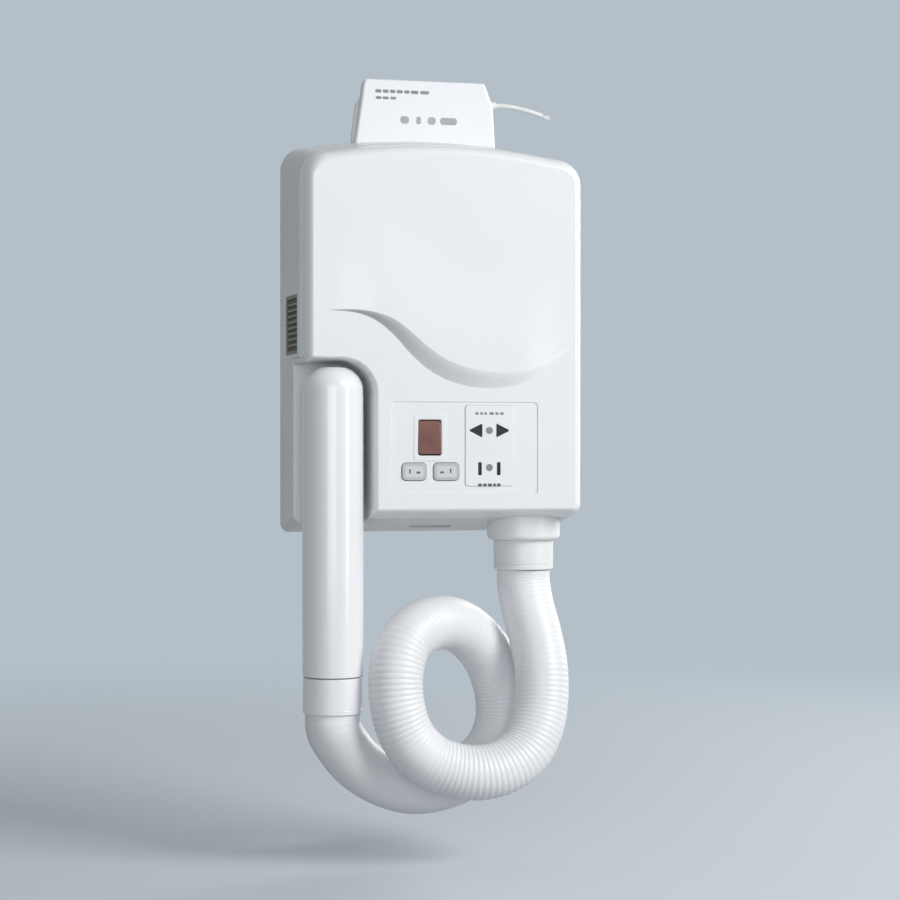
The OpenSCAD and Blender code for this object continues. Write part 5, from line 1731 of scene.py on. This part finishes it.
    def build_cradle_floor(self, work: Patchwork, left_x: float, low_z: float) -> None:
        """Adds the cradle's floor and the hollow corner between it and the wall.

        Args:
            work: the liner's mesh.
            left_x: where the floor's left edge is.
            low_z: where its lower edge is.
        """
        f, cove = self.form, self.cove
        arch, away = f.arch()
        line = np.concatenate([[[left_x, f.notch_z]], arch, [[f.notch_x, low_z]]])
        inward = np.concatenate([[[0.0, -1.0]], -away, [[-1.0, 0.0]]])
        a = np.linspace(0, np.pi / 2, 7)
        move = cove * (1 - np.cos(a))
        flat = line[:, None] + move[None, :, None] * inward[:, None]
        y = np.broadcast_to((f.floor_y - cove + cove * np.sin(a))[None, :], flat.shape[:2])
        n2 = inward[:, None] * np.cos(a)[None, :, None]
        ny = np.broadcast_to(-np.sin(a)[None, :], y.shape)
        work.grid(np.stack([flat[..., 0], y, flat[..., 1]], -1),
                  np.stack([n2[..., 0], ny, n2[..., 1]], -1))
        depth = np.array([f.floor_y])
        foot = f.left_foot(depth, np.array([self.floor_lip]))[:, 0][:, [0, 2]]
        inner = line + cove * inward
        border = np.concatenate([inner, foot[::-1]])
        border[len(inner) - 1, 1] = foot[-1, 1]
        border[0, 0] = foot[0, 0]
        px, pz, pr = self.peg
        add_flat(work, Axis.FRONT, -f.floor_y, border, [Outline.circle(px, pz, pr, 48).points])
        ring = np.concatenate([[[foot[0, 0], f.notch_z]], foot, [[f.notch_x, foot[-1, 1]]]])
        points = at_depth(ring, f.floor_y)
        tangent = unit(np.gradient(ring, axis=0))
        side = at_depth(np.stack([tangent[:, 1], -tangent[:, 0]], -1), 0.0)
        front = np.tile(FORWARD, (len(ring), 1))
        edge_run(work, points, front, turned_to(side, points * FROM_AXIS),
                 rounded_lip(self.floor_lip, f.floor_t))

    def build(self) -> list[bpy.types.Object]:
        """Builds the mouldings and the wave's band."""
        band = self.wave.build_band(self.form.front_y, self.lean)
        made = [self.build_cover(), band, self.build_shell(), self.build_liner()]
        report("housing", made)
        return made


# ---- Wand and collar ----


@dataclass
class Wand:
    """The tube that is held in the hand, with its sleeve, in millimetres.

    The seam and the sleeve lie seam_in and sleeve_in inside the radius, and seam_bore and
    sleeve_bore are their inner radii. The peg's hole is given by its height, radius and two depths.
    """

    x: float = -75.5
    y: float = -70.0
    radius: float = 21.2
    slim: float = 0.2
    inner_r: float = 18.4
    top_z: float = -24.2
    shoulder_h: float = 17.4
    outlet_r: float = 12.0
    mouth_r: float = 9.6
    seam_z: float = -238.6
    seam_half: float = 0.5
    seam_in: float = 1.5
    seam_bore: float = 17.0
    sleeve_in: float = 0.35
    sleeve_bore: float = 16.2
    end_z: float = -264.0
    peg: tuple = (-120.0, 4.35, -56.5, -40.0)
    sides: int = 128

    def girth(self, z: np.ndarray) -> np.ndarray:
        """Radius at height z: slimmest at the shoulder and the seam, fullest between them.

        It is radius - slim * (1 - sin(pi * way)), where way runs from 0 at the seam to 1 at the
        shoulder.
        """
        way = (z - self.seam_z) / (self.top_z - self.shoulder_h - self.seam_z)
        return self.radius - self.slim * (1 - np.sin(np.pi * np.clip(way, 0, 1)))

    def build_tube(self) -> bpy.types.Object:
        """Turns the tube's profile: inside, lip of the mouth, rounded shoulder and grip.

        The shoulder is a quarter ellipse, r sin a wide and low + shoulder_h cos a high.
        """
        work = Patchwork()
        low, foot = self.top_z - self.shoulder_h, self.seam_z + self.seam_half
        z = np.linspace(low, foot, 48)
        r = self.girth(z)
        grip = np.stack([r, z, np.ones_like(r), -np.gradient(r, z)], -1)
        seat = self.mouth_r + 0.6
        a = np.linspace(math.asin(seat / r[0]), np.pi / 2, 24)
        slope = unit(np.stack([self.shoulder_h * np.sin(a), r[0] * np.cos(a)], -1))
        dome = np.stack([r[0] * np.sin(a), low + self.shoulder_h * np.cos(a), *slope.T], -1)
        rim_z = dome[0, 1]
        lining = np.array([
            [self.inner_r, foot, -1, 0], [self.inner_r, -48.0, -1, 0],
            [self.inner_r - 0.6, -43.5, -0.97, -0.25], [self.outlet_r + 1.6, -36.5, -0.7, -0.7],
            [self.outlet_r, -33.0, -1, 0], [self.outlet_r, rim_z - 3.6, -1, 0],
            [self.outlet_r, rim_z - 3.0, -0.3, -1], [self.mouth_r, rim_z - 2.0, -0.3, -1],
            [self.mouth_r, rim_z - 2.0, -1, 0], [self.mouth_r, rim_z - 0.7, -1, 0],
        ])
        b = np.linspace(np.pi, np.pi / 2 - 0.4, 8)
        c, s = np.cos(b), np.sin(b)
        lip = np.stack([seat - 0.1 + 0.5 * c, rim_z - 0.5 + 0.5 * s, c, s], -1)
        profile = np.concatenate([lining, lip, dome])
        revolve(work, np.concatenate([profile, grip]), self.x, self.y, self.sides)
        rim = np.array([[r[-1], foot, 0, -1], [self.inner_r, foot, 0, -1]])
        revolve(work, rim, self.x, self.y, self.sides)
        tube = work.build("wand_tube_moulding")
        self.drill(tube)
        return fit(tube, WAND_PC, "wand", "wand_tube")

    def drill(self, tube: bpy.types.Object) -> None:
        """Cuts the hole that the cradle's peg goes into, at the back of the tube."""
        z, r, front_y, back_y = self.peg
        work = Patchwork()
        hole = Outline.circle(self.x, z, r, 48)
        add_walls(work, hole.points, hole.normals, (front_y, back_y))
        add_flat(work, Axis.FRONT, -front_y, hole.points)
        add_back_face(work, back_y, hole.points)
        cutter = work.build("peg_cutter")
        for obj in (tube, cutter):
            weld(obj)
        cut = tube.modifiers.new("peg hole", "BOOLEAN")
        cut.object, cut.operation, cut.solver = cutter, "DIFFERENCE", "EXACT"
        apply_modifiers(tube)
        bpy.data.objects.remove(cutter)
        tube.data.shade_smooth()
        tube.data.set_sharp_from_angle(angle=math.radians(35))

    def build_sleeve(self) -> bpy.types.Object:
        """Turns the sleeve below the seam, with a rounded lower edge and a fine bead."""
        work, r, e = Patchwork(), self.radius - self.sleeve_in, self.end_z
        bore, top = self.sleeve_bore, self.seam_z - self.seam_half
        profile = turned([
            ("runs", (bore, top), (bore, e), (r - 1.2, e)),
            ("arc", r - 1.2, e + 1.2, 1.2, -90, 0),
            ("runs", (r, e + 1.2), (r, e + 2.6)),
            ("arc", r - 0.35, e + 3.0, 0.4, -30, 30),
            ("runs", (r, e + 3.4), (r - 0.2, top - 0.6)),
            ("arc", r - 0.8, top - 0.6, 0.6, 0, 90),
            ("runs", (r - 0.8, top), (bore, top)),
        ])
        revolve(work, profile, self.x, self.y, self.sides)
        sleeve = work.build("wand_sleeve_moulding")
        return fit(sleeve, WAND_PC, "wand", "wand_sleeve")

    def build_seam(self) -> bpy.types.Object:
        """Turns the dark recessed ring between tube and sleeve."""
        work, r, bore = Patchwork(), self.radius - self.seam_in, self.seam_bore
        low, top = self.seam_z - self.seam_half, self.seam_z + self.seam_half
        for start, end, n in (((bore, top), (r, top), (0, 1)), ((r, low), (r, top), (1, 0)),
                              ((bore, low), (r, low), (0, -1))):
            rows = np.array([[*start, *n], [*end, *n]])
            revolve(work, rows, self.x, self.y, self.sides)
        return fit(work.build("wand_seam_ring"), INK, "wand")

    def build(self) -> list[bpy.types.Object]:
        """Builds tube, sleeve and seam."""
        made = [self.build_tube(), self.build_sleeve(), self.build_seam()]
        report("wand", made)
        return made


def weld(obj: bpy.types.Object) -> None:
    """Merges points of a mesh that lie within a micrometre, and drops its set normals."""
    mesh = bmesh.new()
    mesh.from_mesh(obj.data)
    bmesh.ops.remove_doubles(mesh, verts=mesh.verts, dist=1e-6)
    bmesh.ops.recalc_face_normals(mesh, faces=mesh.faces)
    mesh.to_mesh(obj.data)
    mesh.free()
    if obj.data.has_custom_normals:
        obj.data.normals_split_custom_set([(0.0, 0.0, 0.0)] * len(obj.data.loops))
    obj.data.update()


def apply_modifiers(obj: bpy.types.Object) -> None:
    """Replaces an object's mesh by the mesh that its modifiers give."""
    bpy.context.view_layer.update()
    graph = bpy.context.evaluated_depsgraph_get()
    made = bpy.data.meshes.new_from_object(obj.evaluated_get(graph))
    obj.modifiers.clear()
    obj.data = made


@dataclass
class Collar:
    """The collar under the housing and the hose's cuff in it, in millimetres."""

    x: float = 67.0
    y: float = -45.0
    radius: float = 26.0
    top_z: float = -120.0
    low_z: float = -147.0
    bore_r: float = 21.4
    cuff_r: float = 21.3
    cuff_bore_r: float = 16.2
    cuff_low_z: float = -168.0
    sides: int = 128

    def build_collar(self) -> bpy.types.Object:
        """Turns the collar: flange, body with a fine step, and a wide rounded lower edge."""
        work, r, bore, low, top = Patchwork(), self.radius, self.bore_r, self.low_z, self.top_z
        profile = turned([
            ("runs", (bore, top - 2), (bore, low + 0.5)),
            ("arc", bore + 0.5, low + 0.5, 0.5, 180, 270),
            ("runs", (bore + 0.5, low), (r - 3.2, low)),
            ("arc", r - 3.2, low + 3.2, 3.2, -90, 0),
            ("runs", (r, low + 3.2), (r, top - 4), (r + 2, top - 4), (r + 2, top),
             (bore - 2, top), (bore - 2, top - 2), (bore, top - 2)),
        ])
        revolve(work, profile, self.x, self.y, self.sides)
        collar = work.build("hose_collar_moulding")
        report("collar", [collar])
        return fit(collar, COLLAR_ABS, solid="hose_collar")

    def build_cuff(self) -> bpy.types.Object:
        """Turns the cuff, with a fine groove above its rounded lower edge."""
        work, r, low = Patchwork(), self.cuff_r, self.cuff_low_z
        bore, top = self.cuff_bore_r, self.top_z - 2.2
        profile = turned([
            ("runs", (bore, top), (bore, low), (r - 1.0, low)),
            ("arc", r - 1.0, low + 1.0, 1.0, -90, 0),
            ("runs", (r, low + 1.0), (r, low + 3.2), (r - 0.5, low + 3.5), (r - 0.5, low + 4.0),
             (r, low + 4.3), (r, top), (bore, top)),
        ])
        revolve(work, profile, self.x, self.y, self.sides)
        cuff = work.build("hose_cuff_moulding")
        return fit(cuff, COLLAR_ABS, solid="hose_cuff")


# ---- Control panel and tongue ----


def domed_prism(
    work: Patchwork,
    outline: Outline,
    middle: tuple[float, float],
    edge_r: float,
    out: float,
    depth: float,
    dome: "Dome",
    turn: float = 0.0,
    pivot: tuple[float, float] = (0.0, 0.0),
) -> None:
    """Adds a cap with a curved face, a rounded edge and upright sides, looking to the front.

    From the middle to the edge a point is middle + way * (outline - middle), and it stands out by
    out + dome(across, up). The edge and the sides follow as in fillet().

    Args:
        work: the mesh that it goes into.
        outline: the cap's outline.
        middle: the point that the face's rings close in on.
        edge_r: radius of the rounded edge.
        out: how far the face stands out.
        depth: length of the sides.
        dome: height of the face over its plane.
        turn: turn round the sideways axis through pivot, in degrees.
        pivot: depth and height of that axis.
    """
    outline = outline.dense(1.5)
    ring, centre = outline.inset(edge_r), np.array(middle)
    way = np.linspace(0, 1, 12)[:, None, None]
    face = centre + way * (ring[None] - centre)
    edge = fillet(edge_r, depth, 6)[1:]
    sides = outline.points[None] - edge[:, None, :1] * outline.normals[None]
    flat = np.concatenate([face, sides]).transpose(1, 0, 2)
    drop = np.concatenate([np.zeros(len(way)), edge[:, 1]])[None, :]
    points = Axis.FRONT.lay(flat, out + dome.height(flat - centre) - drop)
    side = np.concatenate([np.zeros(len(way)), edge[:, 2]])[None, :, None]
    ahead = np.concatenate([np.ones(len(way)), edge[:, 3]])[None, :, None]
    round_n = at_depth(outline.normals, 0.0)[:, None]
    normals = unit(side * round_n + ahead * dome.normals(flat - centre))
    if turn:
        c, s = math.cos(math.radians(turn)), math.sin(math.radians(turn))
        spin = np.array([[1, 0, 0], [0, c, -s], [0, s, c]])
        about = np.array([0.0, pivot[0], pivot[1]])
        points = (points - about) @ spin.T + about
        normals = normals @ spin.T
    work.grid(points, normals, True)


@dataclass(frozen=True)
class Dome:
    """Height of a curved face: bulge * (1 - (x/a)^2 - (z/b)^2); a negative bulge is a hollow."""

    bulge: float = 0.0
    across: float = 1e6
    along: float = 1e6

    def height(self, flat: np.ndarray) -> np.ndarray:
        """Height over the plane at each point from the middle."""
        x, z = flat[..., 0] / self.across, flat[..., 1] / self.along
        return self.bulge * (1 - x**2 - z**2)

    def normals(self, flat: np.ndarray) -> np.ndarray:
        """Normals of the curved face, (2 bulge x / a^2, -1, 2 bulge z / b^2)."""
        return unit(np.stack([2 * self.bulge * flat[..., 0] / self.across**2,
                              -np.ones(flat.shape[:-1]),
                              2 * self.bulge * flat[..., 1] / self.along**2], -1))


@dataclass
class ControlPanel:
    """Panel plate with rocker, push keys and shaver socket, in millimetres.

    Fields that end in _out say how far a piece stands out from the plate's face, or, for the sheet of
    painted shade behind the rocker, from the wall. A wedge-shaped hole is given by where it starts and ends
    from the socket's middle and by half its height, and the slots by their distance from the middle, width,
    height and corner radius. A row of marks gives their height in space, their own height, and
    each mark's place and width.
    """

    plate: tuple = (14.5, -82.0, 104.2, 64.2, 3.0)
    plate_t: float = 2.6
    edge_r: float = 0.15
    lip: float = 0.25
    face_y: float = -84.5
    rocker: tuple = (-10.3, -74.5, 15.6, 23.3)
    rocker_turn: float = -6.0
    rocker_hole: tuple = (20.9, 30.5, 2.0)
    bezel: tuple = (22.6, 32.2, 2.2)
    bezel_out: float = 0.35
    inside: tuple = (19.0, 28.0, 1.0)
    gap_shade_out: float = 78.2
    pivot: tuple = (-81.0, -74.5)
    keys: tuple = (("left", -21.5, 17.0), ("right", 1.2, 18.0))
    key_marks: tuple = (("left", ((-3.0, 0.3, 1.0, 3.2), (2.9, -0.5, 2.8, 1.5))),
                        ("right", ((-3.1, -0.4, 2.8, 1.3), (3.0, 0.7, 1.0, 3.2))))
    key_z: float = -98.0
    key_h: float = 12.0
    key_gap: float = 0.7
    key_out: float = 0.9
    pad_out: float = 0.22
    socket: tuple = (31.8, -80.0, 34.0, 56.0)
    socket_gap: float = 0.3
    socket_out: float = 0.6
    socket_t: float = 3.1
    pin_z: float = -69.5
    wedge_size: tuple = (5.0, 14.9, 4.9)
    blade_z: float = -96.0
    blades: tuple = (6.7, 2.6, 9.0, 0.5)
    upper_row: tuple = (-57.7, 1.9, ((-8.9, 2.6), (-5.6, 2.2), (-2.7, 1.9), (1.6, 3.2),
                                     (5.4, 2.4), (8.9, 2.9)))
    lower_row: tuple = (-107.2, 2.0, ((-6.6, 2.8), (-3.1, 2.7), (0.4, 3.0), (3.7, 2.2),
                                      (6.7, 2.8)))
    dot_r: float = 2.5
    dot_out: float = 0.06

    def build_plate(self) -> bpy.types.Object:
        """Makes the plate: a flat face with rounded openings for the rocker, keys and socket."""
        work, out = Patchwork(), -self.face_y
        edge = Outline.rectangle(*self.plate)
        x, z, _, _ = self.rocker
        holes, gap = [Outline.rectangle(x, z, *self.rocker_hole)], self.key_gap
        holes += [Outline.rectangle(kx, self.key_z, w + gap, self.key_h + gap, 3.3)
                  for _, kx, w in self.keys]
        (sx, sz, sw, sh), gap = self.socket, self.socket_gap
        holes.append(Outline.rectangle(sx, sz, sw + gap, sh + gap, 2.1))
        add_plate(work, edge, (self.edge_r, self.plate_t, 3), out, holes,
                  (self.lip, self.plate_t, 3))
        return fit(work.build("panel_moulding"), UREA, solid="panel_plate")

    def build_rocker(self) -> list[bpy.types.Object]:
        """Makes the tinted rocker, rounded lengthways, its upper end pressed in, and its frame."""
        x, z, w, h = self.rocker
        work = Patchwork()
        domed_prism(work, Outline.rectangle(x, z, w, h, 1.2), (x, z), 0.6,
                    3.3 - self.pivot[0], 6.2, Dome(1.0, 40.0, 11.8), self.rocker_turn,
                    self.pivot)
        made = [fit(work.build("rocker_lens"), ROCKER_PC, "rocker_switch",
                    "rocker")]
        work = Patchwork()
        edge = Outline.rectangle(x, z, *self.bezel)
        hole = Outline.rectangle(x, z, w + 0.5, h + 1.3, 1.3)
        add_plate(work, edge, (0.3, 1.0, 4), -self.face_y + self.bezel_out, [hole], (0.9, 5.0, 5))
        made.append(fit(work.build("rocker_frame"), UREA,
                        solid="rocker_case"))
        work = Patchwork()
        # A dark sheet behind the rocker: painted shade, seen through the gap round it.
        add_plate(work, Outline.rectangle(x, z, *self.inside), (0.4, 2.0, 5), self.gap_shade_out)
        made.append(fit(work.build("rocker_gap_shade"), SHADOW))
        return made

    def build_key(self, side: str, x: float, w: float) -> list[bpy.types.Object]:
        """Makes a push key with a lighter, hollowed pad and two small printed marks.

        Args:
            side: "left" or "right".
            x: the key's middle.
            w: its width.

        Returns:
            The key, its pad and its marks.
        """
        work, out = Patchwork(), -self.face_y + self.key_out
        outline = Outline.rectangle(x, self.key_z, w, self.key_h, 3.0)
        domed_prism(work, outline, (x, self.key_z), 0.7, out, 4.2, Dome())
        body = f"{side}_key"
        key = fit(work.build(f"key_{side}_cap"), KEY_ABS, body, f"key_{side}")
        work = Patchwork()
        inner = Outline.rectangle(x, self.key_z, w - 4.2, self.key_h - 4.0, 1.7)
        domed_prism(work, inner, (x, self.key_z), 0.25, out + self.pad_out, 0.6,
                    Dome(-0.18, w / 2, self.key_h / 2))
        pad = fit(work.build(f"key_{side}_pad"), KEY_PAD, body)
        bars = [(x + dx, self.key_z + dz, mw, mh) for dx, dz, mw, mh in dict(self.key_marks)[side]]
        marks = print_bars(f"key_{side}_marks", bars, out + 0.1, DARK_INK, body)
        return [key, pad, marks]

    def wedge(self, side: float) -> Outline:
        """The outline of a wedge-shaped hole that points away from the socket's middle."""
        x, (start, end, half) = self.socket[0], self.wedge_size
        corners = [(x + side * start, self.pin_z - side * half), (x + side * end, self.pin_z),
                   (x + side * start, self.pin_z + side * half)]
        return Outline.rounded(corners, [0.5, 0.7, 0.5], 6)

    def build_socket(self) -> list[bpy.types.Object]:
        """Makes the socket's face with two wedge-shaped holes above two upright slots.

        A dark shutter closes each hole behind the face.
        """
        work, shut = Patchwork(), Patchwork()
        x, z, w, h = self.socket
        out, (far, *size) = -self.face_y + self.socket_out, self.blades
        plate = Outline.rectangle(x, z, w, h, 2.0)
        holes = [self.wedge(side) for side in (1.0, -1.0)]
        holes += [Outline.rectangle(x + side * far, self.blade_z, *size, 4) for side in (1.0, -1.0)]
        add_plate(work, plate, (0.3, self.socket_t, 5), out, holes, (self.lip, self.socket_t, 4))
        for hole in holes:
            sweep_outline(shut, hole, fillet(0.02, 1.6, 1), Axis.FRONT, out - 0.9, hole=True)
            add_flat(shut, Axis.FRONT, out - 1.0, hole.inset(-0.3))
        face = fit(work.build("socket_face"), UREA, solid="socket_plate")
        return [face, fit(shut.build("socket_shutters"), BLACK_PA)]

    def build_marks(self) -> list[bpy.types.Object]:
        """Prints plain grey dots and rows of bars on the socket's face."""
        out, x = -self.face_y + self.socket_out, self.socket[0]
        marks = []
        for name, (z, h, row), ink in (("upper", self.upper_row, INK),
                                       ("lower", self.lower_row, DARK_INK)):
            bars = [(x + dx, z, w, h) for dx, w in row]
            marks.append(print_bars(f"socket_marks_{name}", bars, out, ink))
        work, out = Patchwork(), out + self.dot_out
        for z in (self.pin_z, self.blade_z + 0.8):
            add_plate(work, Outline.circle(x, z, self.dot_r, 40), (0.05, 0.3, 2), out)
        return [*marks, fit(work.build("socket_marks_dots"), INK)]

    def build(self) -> list[bpy.types.Object]:
        """Builds everything on the panel."""
        made = [self.build_plate(), *self.build_rocker(), *self.build_socket(),
                *self.build_marks()]
        for side, x, w in self.keys:
            made += self.build_key(side, x, w)
        LOG.info("control panel: %d pieces", len(made))
        return made


# How far a print stands proud, the radius of its edge, and its bars' corners as a share of the
# shorter side.
PRINT_T = 0.05
PRINT_EDGE = 0.04
PRINT_CORNER = 0.42


def print_bars(
    name: str, bars: Sequence[Sequence[float]], out: float, ink: Finish,
    body: str = "housing",
) -> bpy.types.Object:
    """Prints plain bars with rounded ends, as ink that stands proud by PRINT_T.

    Args:
        name: the piece's name.
        bars: each bar's middle (x, z), width and height.
        out: how far out the face is.
        ink: the print's finish.
        body: the body that it moves with.

    Returns:
        The print.
    """
    work = Patchwork()
    for x, z, w, h in bars:
        bar = Outline.rectangle(x, z, w, h, PRINT_CORNER * min(w, h), 4)
        add_plate(work, bar, (PRINT_EDGE, 0.3, 2), out + PRINT_T)
    return fit(work.build(name), ink, body)


@dataclass
class Tongue:
    """The cover above the housing, over the terminals, in millimetres.

    A row of bars gives their height in space, their own height, and each bar's middle and width.
    """

    corners: tuple = ((-49.6, 137.2), (54.8, 137.2), (53.0, 168.0), (46.7, 184.8), (-42.8, 184.9))
    radii: tuple = (1.0, 1.0, 7.0, 2.5, 4.0)
    front_y: float = -12.0
    back_y: float = -3.0
    clear: float = 0.1
    edge_r: float = 2.2
    side_t: float = 2.3
    face_t: float = 2.0
    upper_row: tuple = (176.0, 2.4, ((-32.4, 4.6), (-27.0, 4.4), (-21.8, 4.2), (-16.6, 4.6),
                                     (-11.4, 4.0), (-5.6, 5.6), (1.8, 6.6)))
    lower_row: tuple = (171.2, 2.0, ((-32.2, 4.2), (-27.0, 4.6), (-21.4, 4.4)))
    signs: tuple = ((-13.0, 155.8, 6.6, 5.4), (-2.7, 155.8, 3.4, 5.6), (7.0, 155.8, 6.0, 5.6),
                    (19.6, 155.8, 12.6, 5.2))

    def build(self) -> list[bpy.types.Object]:
        """Makes the cover with rounded edges, open at the back, and the plain bars on it."""
        work, rim_y = Patchwork(), self.back_y - self.clear
        depth = rim_y - self.front_y
        outline = Outline.rounded(self.corners, self.radii, 12)
        add_plate(work, outline, (self.edge_r, depth, 8), -self.front_y)
        inner, under_y = outline.inset(self.side_t), self.front_y + self.face_t
        add_back_face(work, rim_y, outline.points, [inner])
        add_walls(work, inner, -outline.normals, (rim_y, under_y))
        add_back_face(work, under_y, inner)
        cover = work.build("tongue_moulding")
        report("tongue", [cover])
        fit(cover, TONGUE_ABS, solid="terminal_cover")
        bars = [(x, z, w, h) for z, h, row in (self.upper_row, self.lower_row) for x, w in row]
        out = -self.front_y
        marks = print_bars("tongue_marks", bars, out, INK)
        badges = print_bars("tongue_badges", self.signs, out, PALE_INK)
        return [cover, marks, badges]


def main() -> None:
    """Builds the sub-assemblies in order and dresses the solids."""
    logging.basicConfig(level=logging.INFO, format="%(name)s: %(message)s")
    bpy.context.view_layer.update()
    slots = {p["node"]: p["material_slot"] for p in frame["record"]["subparts"]}
    Studio().build()
    RibbedHose().build()
    SupplyLead().build()
    count = HousePalette.standard().dress_nodes(frame["nodes"], slots)
    LOG.info("dressed %d solids", count)
    Housing().build()
    Wand().build()
    Collar().build_collar()
    ControlPanel().build()
    Tongue().build()


if __name__ == "__main__":
    main()
